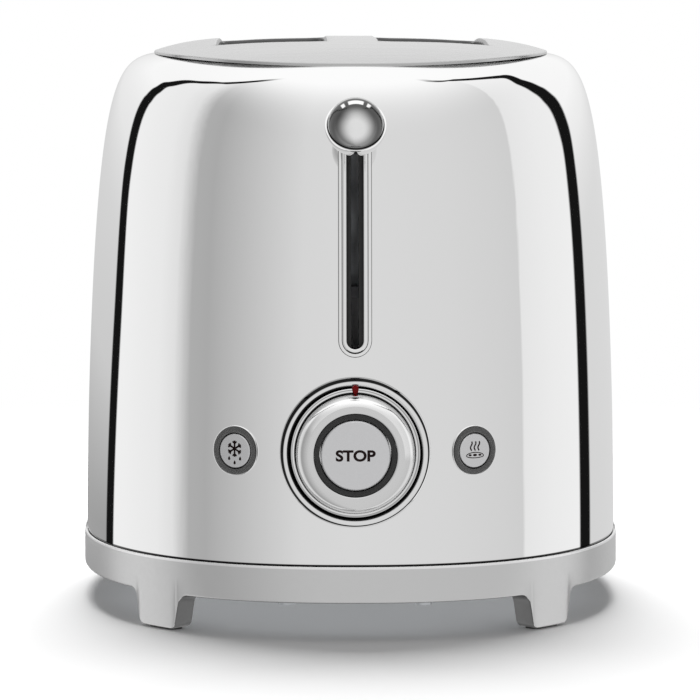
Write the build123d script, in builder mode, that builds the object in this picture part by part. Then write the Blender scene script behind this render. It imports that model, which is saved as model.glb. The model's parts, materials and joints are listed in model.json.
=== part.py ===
from build123d import *

import os
from math import atan2, cos, pi, sin

os.makedirs("parts", exist_ok=True)

# Millimetres. Z is up, the lever side faces -Y, and the origin is on the table under the middle of the legs.
# "Forward" is the distance from the middle towards the lever side, so forward = -y.

# Sleeve: a rounded-oval plan that shrinks with height and turns in at the shoulder
sleeve_half_width = 95.5
sleeve_half_length = 143.2
sleeve_bottom = 24.4
sleeve_top = 196.15
sleeve_wall = 1.2
plan_power = 2.3
lean_power = 1.585
shoulder_power = 17.6
sleeve_levels = 16
level_crowding = 2.5

# Top plate: a domed sheet whose rim lies on the shoulder
plate_inset_side = 24.8
plate_inset_end = 25.2
plate_power = 2.6
plate_rise = 5.3
plate_side_drop = 4.95
plate_end_drop = 8.05
plate_side_roll = 5.0
plate_end_roll = 3.8
plate_level_power = 2.8
plate_thickness = 1.2
plate_levels = 12
plate_crowding = 4
plate_form_depth = 12.0
plate_gap = 0.3
plate_overlap = 9.0

# Toast slots in the plate
slot_offset = 28.2
slot_width = 37.5
slot_length = 138.0
slot_corner = 6.0
slot_lip_depth = 8.0

# Base skirt with its legs
base_proud = 0.9
base_bottom = 12.5
base_wall = 4.0
base_lip_height = 0.5
base_lip_wall = 0.6
base_flange_width = 12.0
base_flange_thickness = 1.5
upstand_height = 6.6
upstand_gap = 0.3
leg_across = 68.0
leg_foot_width = 20.0
leg_root_width = 25.5
leg_depth = 9.0
leg_root_fillet = 4.5
leg_foot_fillet = 2.6
pad_length = 14.0
pad_width = 5.5
pad_height = 1.5
pad_corner = 2.0

# Bottom plate, its screws and the crumb tray
bottom_plate_thickness = 1.0
bottom_plate_gap = 0.4
screw_radius = 1.5
screw_head_radius = 3.0
screw_head_height = 1.5
screw_hole_gap = 0.1
screw_tip = 1.5
chassis_screw_tip = 0.75
screw_edge = 3.5
tray_half_width = 48.0
tray_height = 5.5
tray_wall = 0.8
tray_rib_height = 0.7
tray_rib_width = 2.0
tray_gap = 0.3
tray_front_room = 2.0
tray_rib_across = 30.0
rail_thickness = 1.0
rail_height = 4.0
rail_gap = 0.4
rail_end = 115.0
tray_panel_thickness = 3.0
tray_panel_overhang = 1.6
tray_window_gap = 0.4
tray_pull_half_width = 14.0
tray_pull_reach = 3.4
tray_pull_thickness = 1.6

# Oven: chassis plates, shields, heaters and bread guides
oven_end_room = 5.0
chassis_thickness = 1.0
chassis_half_width = 62.0
chassis_top_room = 6.5
chassis_tab_length = 7.0
chassis_tab_width = 11.0
chassis_corner = 6.0
shield_bottom = 27.0
shield_height = 152.0
shield_lip = 6.0
shield_gap = 7.0
shield_thickness = 0.8
heater_gap = 6.0
heater_thickness = 1.0
heater_bottom = 45.0
heater_height = 125.0
ribbon_thickness = 0.4
ribbon_width = 2.6
ribbon_passes = 12
ribbon_edge = 8.0
seat_gap = 0.1
guide_open = 16.0
guide_travel = 5.0
guide_frame_radius = 1.0
guide_wire_radius = 0.8
guide_wires = 11
guide_bottom = 46.0
guide_top = 172.0
guide_pin_reach = 2.0
guide_slot_gap = 0.3

# Cuts through the sleeve's front
front_cut_start = 115.0
front_cut_length = 40.0
button_cut_reach = 9.0
hole_gap = 0.2

# Lever slot in the sleeve
lever_slot_bottom = 98.1
lever_slot_length = 79.9
lever_slot_width = 5.5
lever_bezel_rim = 2.9
lever_bezel_step = 1.3
lever_bezel_proud = 1.1
lever_bezel_low = 0.6
lever_barrel_wall = 0.6
liner_margin = 5.0
liner_gap = 2.6
liner_thickness = 2.4

# Lever, carriage and racks, at rest at the top of the travel
lever_travel = 70.0
ball_radius = 9.33
ball_forward = 154.0
ball_height = 173.45
cup_wall = 0.97
cup_tilt = 34.0
cup_notch_half_width = 1.7
arm_thickness = 2.0
arm_height = 6.5
arm_root_depth = 8.5
arm_root_bottom = 120.0
rod_radius = 2.5
rod_across = 20.0
rod_forward = 84.0
rod_top = 184.0
running_gap = 0.05
bush_radius = 3.8
boss_radius = 5.5
boss_height = 30.0
slider_half_width = 32.0
slider_bottom = 116.0
slider_height = 34.0
slider_thickness = 2.0
slider_behind_rod = 4.5
keeper_half_width = 10.0
keeper_thickness = 4.0
keeper_depth = 11.5
rack_bottom = 121.0
rack_height = 6.0
rack_thickness = 3.0
rack_finger_reach = 5.0
rack_fingers = 9
rack_slit_gap = 1.0
rack_flange_height = 10.0
rack_flange_thickness = 1.0
rack_finger_depth = 2.0
rack_finger_height = 3.0
foot_collar_height = 5.0
foot_collar_radius = 5.0
bracket_height = 4.0
bracket_half_width = 27.0
bracket_reach = 15.0
return_spring_radius = 3.0
return_spring_across = 10.0
spring_lug_height = 3.0
spring_lug_margin = 1.0

# Electromagnet and power switch
magnet_gap = 0.3
magnet_leg = 2.5
magnet_depth = 10.0
magnet_base_height = 4.0
coil_wall = 4.5
coil_gap = 0.3
coil_end_room = 3.0
power_switch_inner = 26.0
power_switch_width = 12.0
power_switch_depth = 12.0
power_switch_gap = 0.5

# Browning dial
dial_z = 63.5
dial_bezel_radius = 25.35
dial_bezel_front = 146.0
dial_bezel_bore = 22.2
dial_bezel_crest = 1.6
dial_bezel_roll = 1.5
dial_bezel_arc = 1.7
dial_barrel_wall = 0.8
dial_gap = 0.3
knob_ledge_front = 146.35
knob_ledge_inner = 20.2
knob_crown_radius = 19.9
knob_rim_front = 149.4
knob_groove_depth = 0.9
knob_shoulder_fullness = 0.68
knob_crown_front = 155.0
knob_bore_radius = 13.9
knob_bore_lip = 0.9
knob_floor_front = 147.0
knob_floor_thickness = 2.5
knob_back = 136.0
knob_wall = 1.2
knob_boss_wall = 2.5
hub_flange_radius = 15.9
sleeve_shaft_radius = 6.0
sleeve_shaft_bore = 4.2
sleeve_shaft_back = 111.5
housing_front = 132.0
housing_thickness = 3.0
housing_hub_wall = 3.0
housing_hub_back = 119.0
housing_post_radius = 2.5
housing_post_offset = 14.0
pointer_half_length = 1.55
pointer_half_width = 1.05
pointer_radius_at = 21.55
pointer_thickness = 0.9
pointer_edge_roll = 0.3

# Stop button
stop_radius = 11.7
stop_front = 155.3
stop_thickness = 5.8
stop_stem_radius = 3.5
stop_travel = 1.5
stop_edge_roll = 0.5
light_ring_gap = 0.35
light_ring_front = 154.7

# Defrost and reheat buttons
button_across = 40.3
button_z = 63.2
button_cap_radius = 5.85
button_bezel_bore = 6.15
button_bezel_radius = 8.35
button_bezel_proud = 0.75
button_cap_proud = 0.55
button_barrel_radius = 7.0
button_barrel_length = 6.0
button_cap_depth = 4.0
button_rod_radius = 2.5
button_rod_length = 20.0
button_travel = 1.5
button_edge_roll = 0.28
switch_half_size = 4.0

# Control board
board_forward = 104.8
board_thickness = 1.6
board_half_width = 46.0
board_bottom = 36.0
board_height = 51.0
standoff_height = 2.2
standoff_radius = 3.0
standoff_across = 40.0
standoff_inset = 6.0
bracket_plate_thickness = 1.0
bracket_foot_length = 11.0
pot_radius = 12.0
pot_front = 113.0
stop_switch_half = 3.0
stop_switch_depth = 4.0
stop_plunger_radius = 1.5
stop_plunger_height = 1.2
press_gap = 0.3
relay_size = (14.0, 11.0, 10.0)
relay_place = (-27.0, 43.0)
capacitor_radius = 4.5
capacitor_length = 13.0
capacitor_place = (27.0, 44.0)
chip_size = (12.0, 2.0, 6.0)
chip_place = (0.0, 41.0)

# Rear: terminal block and cord gland
gland_across = 56.0
gland_back = 90.0
gland_bore_radius = 3.6
gland_barrel_radius = 5.0
gland_flange_radius = 6.2
gland_flange_thickness = 1.5
gland_barrel_height = 8.0
terminal_half_width = 15.0
terminal_depth = 17.0
terminal_bottom = 60.0
terminal_height = 18.0
terminal_ways = 3
terminal_hole_radius = 1.8
terminal_hole_depth = 9.0

# Worked out from the sizes above
crown_top = sleeve_top + plate_rise
plate_half_width = sleeve_half_width - plate_inset_side
plate_half_length = sleeve_half_length - plate_inset_end
base_half_width = sleeve_half_width + base_proud
base_half_length = sleeve_half_length + base_proud
base_lip_top = sleeve_bottom + base_lip_height
flange_top = base_bottom + base_flange_thickness
floor_top = flange_top + bottom_plate_thickness
tray_bottom = floor_top + tray_rib_height + tray_gap
oven_half_length = slot_length / 2 + oven_end_room
chassis_top = sleeve_top - chassis_top_room
heater_across = slot_offset + slot_width / 2 + heater_gap
shield_across = heater_across + shield_gap
rack_slit_half = rack_thickness / 2 + rack_slit_gap
slider_front = rod_forward - slider_behind_rod
slider_back = slider_front - slider_thickness
keeper_bottom = slider_bottom - keeper_thickness
magnet_top = keeper_bottom - lever_travel - magnet_gap
magnet_forward = slider_front + keeper_depth / 2
lever_slot_middle = lever_slot_bottom + lever_slot_length / 2
knob_skirt_radius = dial_bezel_bore - dial_gap
dial_barrel_radius = dial_bezel_bore + dial_barrel_wall
board_back = board_forward - board_thickness
bracket_front = board_back - standoff_height

centred_up = (Align.CENTER, Align.CENTER, Align.MIN)


def oval_points(half_x, half_y, power, count=24):
    """Points round an oval whose squareness is set by the power."""
    points = []
    for step in range(count):
        across, along = cos(2 * pi * step / count), sin(2 * pi * step / count)
        reach = (abs(across) ** power + abs(along) ** power) ** (-1 / power)
        points.append((half_x * across * reach, half_y * along * reach))
    return points


def oval(half_x, half_y, power=plan_power):
    """Flat oval face on the XY plane."""
    with BuildSketch() as face:
        with BuildLine():
            Spline(*oval_points(half_x, half_y, power), periodic=True)
        make_face()
    return face.sketch


def base_oval(inset):
    """Plan of the base skirt, drawn in by an inset."""
    return oval(base_half_width - inset, base_half_length - inset)


def plan_share(z):
    """Share of the full plan that the sleeve has at a height."""
    rise = (z - sleeve_bottom) / (sleeve_top - sleeve_bottom)
    return (1 - rise**lean_power) ** (1 / shoulder_power)


def wall_forward(x, z):
    """How far forward the sleeve's outside is at a place on its front."""
    share = plan_share(z)
    reach = abs(x) / (sleeve_half_width * share)
    return sleeve_half_length * share * (1 - reach**plan_power) ** (1 / plan_power)


def wall_turn(x, z):
    """Angle in plan between straight ahead and the wall's normal."""
    share = plan_share(z)
    side = (x / (sleeve_half_width * share)) ** (plan_power - 1) / sleeve_half_width
    ahead = (wall_forward(x, z) / (sleeve_half_length * share)) ** (plan_power - 1) / sleeve_half_length
    return atan2(side, ahead)


def sleeve_form(inset=0.0):
    """Closed body with the sleeve's outside, drawn in by an inset."""
    with BuildPart() as form:
        for level in range(sleeve_levels):
            rise = 1 - (1 - level / sleeve_levels) ** level_crowding
            share = (1 - rise**lean_power) ** (1 / shoulder_power)
            height = sleeve_bottom + rise * (sleeve_top - inset - sleeve_bottom)
            with BuildSketch(Plane.XY.offset(height)):
                add(oval(sleeve_half_width * share - inset, sleeve_half_length * share - inset))
        loft()
    return form.part


def crown_form(lower=0.0):
    """Closed body with the top plate's dome, moved down by a distance."""
    with BuildPart() as form:
        for level in range(plate_levels - 1):
            drop = plate_form_depth * (1 - level / plate_levels) ** plate_crowding
            half_x = plate_half_width * (drop / plate_side_drop) ** (1 / plate_side_roll)
            half_y = plate_half_length * (drop / plate_end_drop) ** (1 / plate_end_roll)
            with BuildSketch(Plane.XY.offset(crown_top - lower - drop)):
                add(oval(half_x, half_y, plate_level_power))
        loft()
    return form.part


def block(low, high, mode=Mode.ADD):
    """Box between two opposite corners, in the part being built."""
    middle = tuple((a + b) / 2 for a, b in zip(low, high))
    size = [abs(b - a) for a, b in zip(low, high)]
    with Locations(middle):
        Box(*size, mode=mode)


def bar(start, end, radius, mode=Mode.ADD):
    """Round bar between two points, in the part being built."""
    run = Vector(*end) - Vector(*start)
    with Locations(Plane(origin=start, z_dir=run)):
        Cylinder(radius, run.length, align=centred_up, mode=mode)


def front_plane(forward):
    """Upright plane facing the lever side, with local x across and local y up."""
    return Plane.XZ.offset(forward)


def lever_capsule(margin, mode=Mode.ADD):
    """Outline of the lever slot, grown by a margin, in the sketch being drawn."""
    SlotOverall(lever_slot_length + 2 * margin, lever_slot_width + 2 * margin, rotation=90, mode=mode)


sleeve_outside = sleeve_form()
sleeve_inside = sleeve_form(sleeve_wall)

# Space that the top plate fills, cut out of the sleeve so that the plate seats on it
with BuildPart() as plate_space:
    with BuildSketch(Plane.XY.offset(crown_top - plate_form_depth)):
        add(oval(plate_half_width + plate_gap, plate_half_length + plate_gap, plate_power))
    extrude(amount=2 * plate_form_depth)
    add(crown_form(plate_thickness + seat_gap), mode=Mode.SUBTRACT)

# Planes of the two round buttons: origin on the wall, z out of the wall
button_turn = wall_turn(button_across, button_z)
button_forward = wall_forward(button_across, button_z)


def button_plane(side, out=0.0):
    """Plane square to a button's axis, some way out of the wall."""
    away = Vector(side * sin(button_turn), -cos(button_turn), 0)
    start = Vector(side * button_across, -button_forward, button_z) + away * out
    return Plane(origin=start, x_dir=(cos(button_turn), side * sin(button_turn), 0), z_dir=away)


# Dial profiles are drawn as (forward, radius) and turned about the dial's axis
dial_profile = Plane(origin=(0, 0, dial_z), x_dir=(0, -1, 0), z_dir=(-1, 0, 0))
dial_axis = Axis((0, 0, dial_z), (0, 1, 0))

# Body sleeve
with BuildPart() as body_shell:
    add(sleeve_outside)
    add(sleeve_inside, mode=Mode.SUBTRACT)
    with BuildSketch(Plane.XY.offset(sleeve_top - 2 * plate_overlap)):
        add(oval(plate_half_width - plate_overlap, plate_half_length - plate_overlap, plate_power))
    extrude(amount=4 * plate_overlap, mode=Mode.SUBTRACT)
    add(plate_space.part, mode=Mode.SUBTRACT)
    with BuildSketch(front_plane(front_cut_start)):
        with Locations((0, lever_slot_middle)):
            lever_capsule(lever_barrel_wall)
        with Locations((0, dial_z)):
            Circle(dial_barrel_radius + hole_gap)
    extrude(amount=front_cut_length, mode=Mode.SUBTRACT)
    for side in (-1, 1):
        with BuildSketch(button_plane(side, -button_cut_reach)):
            Circle(button_barrel_radius + hole_gap)
        extrude(amount=2 * button_cut_reach, mode=Mode.SUBTRACT)

# Top plate
lip_bottom = crown_top - slot_lip_depth
with BuildPart() as plate_hollow:
    add(crown_form(plate_thickness))
    with BuildSketch(Plane.XY.offset(lip_bottom)):
        with Locations((-slot_offset, 0), (slot_offset, 0)):
            RectangleRounded(
                slot_width + 2 * plate_thickness,
                slot_length + 2 * plate_thickness,
                slot_corner + plate_thickness,
            )
    extrude(amount=2 * slot_lip_depth, mode=Mode.SUBTRACT)

with BuildPart() as top_plate:
    add(crown_form())
    with BuildSketch(Plane.XY.offset(crown_top - 2 * plate_form_depth)):
        add(oval(plate_half_width, plate_half_length, plate_power))
    extrude(amount=3 * plate_form_depth, mode=Mode.INTERSECT)
    add(plate_hollow.part, mode=Mode.SUBTRACT)
    with BuildSketch(Plane.XY.offset(crown_top - 2 * plate_form_depth)):
        with Locations((-slot_offset, 0), (slot_offset, 0)):
            RectangleRounded(slot_width, slot_length, slot_corner)
    extrude(amount=3 * plate_form_depth, mode=Mode.SUBTRACT)

# Base skirt: band, flange, lip and upstand, then four legs cut from the same outline
leg_reach = leg_across / base_half_width
leg_along = base_half_length * (1 - leg_reach**plan_power) ** (1 / plan_power)
leg_turn = atan2(
    (leg_along / base_half_length) ** (plan_power - 1) / base_half_length,
    leg_reach ** (plan_power - 1) / base_half_width,
)
corners = [(-1, -1), (1, -1), (-1, 1), (1, 1)]


def leg(side, end):
    """One leg, between the skirt's outline and an oval inside it."""
    away = Vector(side * cos(leg_turn), end * sin(leg_turn), 0)
    start = Vector(side * leg_across, end * leg_along, 0) - away * 2 * leg_depth
    root = Vector(0, 0, 1).cross(away)
    with BuildPart() as piece:
        with BuildSketch(Plane.XY.offset(pad_height)):
            add(base_oval(0))
            add(base_oval(leg_depth), mode=Mode.SUBTRACT)
        extrude(amount=flange_top - pad_height)
        with BuildSketch(Plane(origin=start, x_dir=root, z_dir=away)) as outline:
            with BuildLine():
                Polyline(
                    (-leg_foot_width / 2, pad_height),
                    (leg_foot_width / 2, pad_height),
                    (leg_root_width / 2, base_bottom),
                    (leg_root_width / 2 + leg_root_fillet, base_bottom),
                    (leg_root_width / 2 + leg_root_fillet, flange_top),
                    (-leg_root_width / 2 - leg_root_fillet, flange_top),
                    (-leg_root_width / 2 - leg_root_fillet, base_bottom),
                    (-leg_root_width / 2, base_bottom),
                    close=True,
                )
            make_face()
            fillet(outline.vertices().group_by(Axis.Y)[1].sort_by(Axis.X)[1:3], leg_root_fillet)
            fillet(outline.vertices().group_by(Axis.Y)[0], leg_foot_fillet)
        extrude(amount=4 * leg_depth, mode=Mode.INTERSECT)
    return piece.part


def flange_spots(*steps):
    """Screw places on the skirt's flange, at steps of 15 degrees round it."""
    inset = base_flange_width - screw_edge
    around = oval_points(base_half_width - inset, base_half_length - inset, plan_power, 24)
    return [around[step] for step in steps]


bottom_screw_spots = flange_spots(1, 11, 13, 17, 19, 23)

with BuildPart() as base_skirt:
    with BuildSketch(Plane.XY.offset(base_bottom)):
        add(base_oval(0))
    extrude(amount=base_lip_top - base_bottom)
    with BuildSketch(Plane.XY.offset(sleeve_bottom)):
        add(base_oval(base_lip_wall))
    extrude(amount=base_lip_height, mode=Mode.SUBTRACT)
    with BuildSketch(Plane.XY.offset(sleeve_bottom)):
        upstand_inset = sleeve_wall + upstand_gap
        add(oval(sleeve_half_width - upstand_inset, sleeve_half_length - upstand_inset))
    extrude(amount=upstand_height)
    with BuildSketch(Plane.XY.offset(flange_top)):
        add(base_oval(base_wall))
    extrude(amount=sleeve_bottom - flange_top + upstand_height, mode=Mode.SUBTRACT)
    with BuildSketch(Plane.XY.offset(base_bottom)):
        add(base_oval(base_flange_width))
    extrude(amount=base_flange_thickness, mode=Mode.SUBTRACT)
    for side, end in corners:
        add(leg(side, end))
    window = tray_half_width + tray_panel_overhang + tray_window_gap
    block(
        (-window, 0, tray_bottom - tray_window_gap),
        (window, 2 * base_half_length, tray_bottom + tray_height + tray_window_gap),
        mode=Mode.SUBTRACT,
    )
    with BuildSketch(Plane.XY.offset(base_bottom)):
        with Locations(*bottom_screw_spots):
            Circle(screw_radius + screw_hole_gap)
    extrude(amount=base_flange_thickness, mode=Mode.SUBTRACT)

# Rubber pads under the legs
with BuildPart() as foot_pads:
    for side, end in corners:
        away = Vector(side * cos(leg_turn), end * sin(leg_turn), 0)
        middle = Vector(side * leg_across, end * leg_along, 0) - away * leg_depth / 2
        with BuildSketch(Plane(origin=middle, x_dir=Vector(0, 0, 1).cross(away), z_dir=(0, 0, 1))):
            RectangleRounded(pad_length, pad_width, pad_corner)
        extrude(amount=pad_height)

# Bottom plate with ribs under the crumb tray and rails beside it
chassis_screw_spots = [
    (
        side * (chassis_half_width - chassis_tab_width / 2),
        end * (oven_half_length + chassis_thickness + chassis_tab_length / 2),
    )
    for side, end in corners
]
tray_front = -oven_half_length + tray_front_room
with BuildPart() as bottom_plate:
    with BuildSketch(Plane.XY.offset(flange_top)):
        add(base_oval(base_wall + bottom_plate_gap))
        with Locations(*bottom_screw_spots, *chassis_screw_spots):
            Circle(screw_radius + screw_hole_gap, mode=Mode.SUBTRACT)
        with Locations((-gland_across, gland_back)):
            Circle(gland_barrel_radius + screw_hole_gap, mode=Mode.SUBTRACT)
    extrude(amount=bottom_plate_thickness)
    for side in (-1, 1):
        block(
            (side * tray_rib_across - tray_rib_width / 2, tray_front, floor_top),
            (side * tray_rib_across + tray_rib_width / 2, rail_end, floor_top + tray_rib_height),
        )
        rail_across = tray_half_width + rail_gap
        block(
            (side * rail_across, tray_front, floor_top),
            (side * (rail_across + rail_thickness), rail_end, floor_top + rail_height),
        )


def upright_screws(spots, head_bottom, tip, head_up):
    """Screws along Z with pan heads, one solid each."""
    with BuildPart() as screws:
        for x, y in spots:
            bar((x, y, min(head_bottom, tip)), (x, y, max(head_bottom, tip)), screw_radius)
            rise = screw_head_height if head_up else -screw_head_height
            bar((x, y, head_bottom), (x, y, head_bottom + rise), screw_head_radius)
    return screws


bottom_screws = upright_screws(bottom_screw_spots, base_bottom, floor_top + screw_tip, head_up=False)
chassis_screws = upright_screws(
    chassis_screw_spots, floor_top + chassis_thickness, flange_top - chassis_screw_tip, head_up=True
)

# Crumb tray: a shallow pan whose end panel fills the window in the skirt
tray_top = tray_bottom + tray_height
tray_length = base_half_length - tray_front + tray_pull_reach
tray_middle = tray_front + tray_length / 2
with BuildPart() as crumb_tray:
    with BuildSketch(Plane.XY.offset(tray_bottom)):
        add(base_oval(tray_panel_thickness / 2))
        with Locations((0, tray_middle)):
            Rectangle(2 * tray_half_width, tray_length, mode=Mode.INTERSECT)
    extrude(amount=tray_height)
    with BuildSketch(Plane.XY.offset(tray_bottom + tray_wall)):
        add(base_oval(tray_panel_thickness))
        with Locations((0, tray_middle + tray_wall)):
            Rectangle(2 * (tray_half_width - tray_wall), tray_length, mode=Mode.INTERSECT)
    extrude(amount=tray_height, mode=Mode.SUBTRACT)
    with BuildSketch(Plane.XY.offset(tray_bottom)):
        add(base_oval(0))
        add(base_oval(tray_panel_thickness), mode=Mode.SUBTRACT)
        with Locations((0, base_half_length / 2)):
            Rectangle(2 * (tray_half_width + tray_panel_overhang), base_half_length, mode=Mode.INTERSECT)
    extrude(amount=tray_height)
    block(
        (-tray_pull_half_width, base_half_length - tray_panel_thickness, tray_bottom),
        (tray_pull_half_width, base_half_length + tray_pull_reach, tray_bottom + tray_pull_thickness),
    )

# Chassis plates at both ends of the oven
guide_places = [(side, slot_offset + way * guide_open, way) for side in (-1, 1) for way in (-1, 1)]


def chassis(end):
    """Sheet plate with slits for the racks and slots for the bread guides."""
    inner = oven_half_length
    start = inner if end < 0 else -inner - chassis_thickness
    with BuildPart() as plate:
        with BuildSketch(front_plane(start)):
            with Locations((0, (floor_top + chassis_top) / 2)):
                Rectangle(2 * chassis_half_width, chassis_top - floor_top)
            for side in (-1, 1):
                slit_bottom = rack_bottom - lever_travel - rack_slit_gap
                slit_top = rack_bottom + rack_height + rack_slit_gap
                with Locations((side * slot_offset, (slit_bottom + slit_top) / 2)):
                    Rectangle(2 * rack_slit_half, slit_top - slit_bottom, mode=Mode.SUBTRACT)
            pin_room = 2 * (guide_frame_radius + guide_slot_gap)
            for side, across, way in guide_places:
                for height in (guide_bottom, guide_top):
                    with Locations((side * (across - way * guide_travel / 2), height)):
                        SlotOverall(guide_travel + pin_room, pin_room, mode=Mode.SUBTRACT)
        extrude(amount=chassis_thickness)
        fillet(plate.edges().filter_by(Axis.Y).group_by(Axis.Z)[-1], chassis_corner)
        outer = end * (inner + chassis_thickness)
        for side in (-1, 1):
            block(
                (side * (chassis_half_width - chassis_tab_width), end * inner, floor_top),
                (side * chassis_half_width, outer + end * chassis_tab_length, floor_top + chassis_thickness),
            )
        with BuildSketch(Plane.XY.offset(floor_top)):
            with Locations(*[(x, y) for x, y in chassis_screw_spots if y * end > 0]):
                Circle(screw_radius + screw_hole_gap)
        extrude(amount=chassis_thickness, mode=Mode.SUBTRACT)
        if end > 0:
            window = tray_half_width + tray_panel_overhang + tray_window_gap
            block(
                (-window, inner - chassis_thickness, floor_top),
                (window, inner + 2 * chassis_thickness, tray_top + tray_window_gap),
                mode=Mode.SUBTRACT,
            )
    return plate


chassis_front = chassis(-1)
chassis_rear = chassis(1)


def side_shield(side):
    """Upright heat shield between the chassis plates, with a lip at top and bottom."""
    reach = oven_half_length - seat_gap
    top = shield_bottom + shield_height
    with BuildPart() as shield:
        block(
            (side * shield_across, -reach, shield_bottom),
            (side * (shield_across + shield_thickness), reach, top),
        )
        for level in (shield_bottom, top - shield_thickness):
            block(
                (side * (shield_across - shield_lip), -reach, level),
                (side * shield_across, reach, level + shield_thickness),
            )
    return shield


side_shield_left = side_shield(-1)
side_shield_right = side_shield(1)

ribbon_pitch = (heater_height - 2 * ribbon_edge) / (ribbon_passes - 1)
ribbon_levels = [heater_bottom + ribbon_edge + step * ribbon_pitch for step in range(ribbon_passes)]
ribbon_length = 2 * (oven_half_length - ribbon_edge)


def heater_card(across):
    """Mica sheet with a notch at each end of every ribbon pass."""
    with BuildPart() as card:
        with BuildSketch(Plane.YZ.offset(across - heater_thickness / 2)):
            with Locations((0, heater_bottom + heater_height / 2)):
                Rectangle(2 * (oven_half_length - seat_gap), heater_height)
            for level in ribbon_levels:
                with Locations((-oven_half_length, level), (oven_half_length, level)):
                    Rectangle(ribbon_width, ribbon_width, mode=Mode.SUBTRACT)
        extrude(amount=heater_thickness)
    return card


def heater_ribbon(*faces):
    """Flat resistance ribbon that runs to and fro on each given face of a card."""
    with BuildPart() as ribbon:
        for face in faces:
            with BuildSketch(Plane.YZ.offset(face)):
                for step, level in enumerate(ribbon_levels):
                    with Locations((0, level)):
                        Rectangle(ribbon_length, ribbon_width)
                    if step:
                        turn_at = (ribbon_length - ribbon_width) / 2 * (-1) ** step
                        with Locations((turn_at, level - ribbon_pitch / 2)):
                            Rectangle(ribbon_width, ribbon_pitch)
            extrude(amount=ribbon_thickness)
    return ribbon


heater_card_left = heater_card(-heater_across)
heater_card_center = heater_card(0)
heater_card_right = heater_card(heater_across)
heater_ribbon_left = heater_ribbon(-heater_across + heater_thickness / 2)
heater_ribbon_center = heater_ribbon(heater_thickness / 2, -heater_thickness / 2 - ribbon_thickness)
heater_ribbon_right = heater_ribbon(heater_across - heater_thickness / 2 - ribbon_thickness)


def bread_guide(side, across):
    """Wire frame beside a slot; its long bars run out through the chassis plates."""
    reach = oven_half_length + chassis_thickness + guide_pin_reach
    pitch = slot_length / guide_wires
    x = side * across
    with BuildPart() as guide:
        for height in (guide_bottom, guide_top):
            bar((x, -reach, height), (x, reach, height), guide_frame_radius)
        for step in range(guide_wires):
            y = (step - (guide_wires - 1) / 2) * pitch
            bar((x, y, guide_bottom), (x, y, guide_top), guide_wire_radius)
    return guide


guide_left_inner = bread_guide(-1, guide_places[0][1])
guide_left_outer = bread_guide(-1, guide_places[1][1])
guide_right_inner = bread_guide(1, guide_places[2][1])
guide_right_outer = bread_guide(1, guide_places[3][1])

# Lever slot trim: two stepped rims that follow the wall, and a barrel through it
with BuildPart() as raised_rim:
    with BuildSketch(front_plane(front_cut_start)):
        with Locations((0, lever_slot_middle)):
            lever_capsule(lever_bezel_step)
    extrude(amount=front_cut_length)
    add(sleeve_form(-lever_bezel_proud), mode=Mode.INTERSECT)

with BuildPart() as lever_barrel:
    with BuildSketch(front_plane(front_cut_start)):
        with Locations((0, lever_slot_middle)):
            lever_capsule(lever_barrel_wall)
    extrude(amount=front_cut_length)
    add(sleeve_outside, mode=Mode.INTERSECT)
    add(sleeve_inside, mode=Mode.SUBTRACT)

with BuildPart() as slot_bezel:
    with BuildSketch(front_plane(front_cut_start)):
        with Locations((0, lever_slot_middle)):
            lever_capsule(lever_bezel_rim)
    extrude(amount=front_cut_length)
    add(sleeve_form(-lever_bezel_low), mode=Mode.INTERSECT)
    add(raised_rim.part)
    add(sleeve_outside, mode=Mode.SUBTRACT)
    add(lever_barrel.part)
    with BuildSketch(front_plane(front_cut_start)):
        with Locations((0, lever_slot_middle)):
            lever_capsule(0)
    extrude(amount=front_cut_length, mode=Mode.SUBTRACT)

# Black liner behind the wall, with a narrow gap that the lever arm runs in
with BuildPart() as slot_liner:
    with BuildSketch(front_plane(front_cut_start)):
        with Locations((0, lever_slot_middle)):
            lever_capsule(liner_margin)
            SlotOverall(lever_slot_length + liner_gap, liner_gap, rotation=90, mode=Mode.SUBTRACT)
    extrude(amount=front_cut_length)
    add(sleeve_inside, mode=Mode.INTERSECT)
    add(sleeve_form(sleeve_wall + liner_thickness), mode=Mode.SUBTRACT)

# Lever: ball, cup and arm
ball_middle = (0, -ball_forward, ball_height)
cup_radius = ball_radius + cup_wall
with BuildPart() as lever_knob:
    with Locations(ball_middle):
        Sphere(ball_radius)

cup_opening = Plane(origin=ball_middle, z_dir=Vector(0, -1, 0).rotate(Axis.X, -cup_tilt))
with BuildPart() as lever_cup:
    with Locations(ball_middle):
        Sphere(cup_radius)
        Sphere(ball_radius + running_gap, mode=Mode.SUBTRACT)
    split(bisect_by=cup_opening, keep=Keep.BOTTOM)
    with BuildSketch(front_plane(ball_forward)):
        with BuildLine():
            Polyline(
                (-cup_notch_half_width, ball_height - cup_radius - cup_wall),
                (cup_notch_half_width, ball_height - cup_radius - cup_wall),
                (0, ball_height - ball_radius + cup_wall),
                close=True,
            )
        make_face()
    extrude(amount=cup_radius, mode=Mode.SUBTRACT)

with BuildPart() as lever_arm:
    half = arm_thickness / 2
    arm_top = ball_height + arm_height / 2
    block((-half, -slider_front - arm_root_depth, arm_root_bottom), (half, -slider_front, arm_top))
    block((-half, -ball_forward, arm_top - arm_height), (half, -slider_front, arm_top))
    with Locations(ball_middle):
        Sphere(cup_radius, mode=Mode.SUBTRACT)

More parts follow.
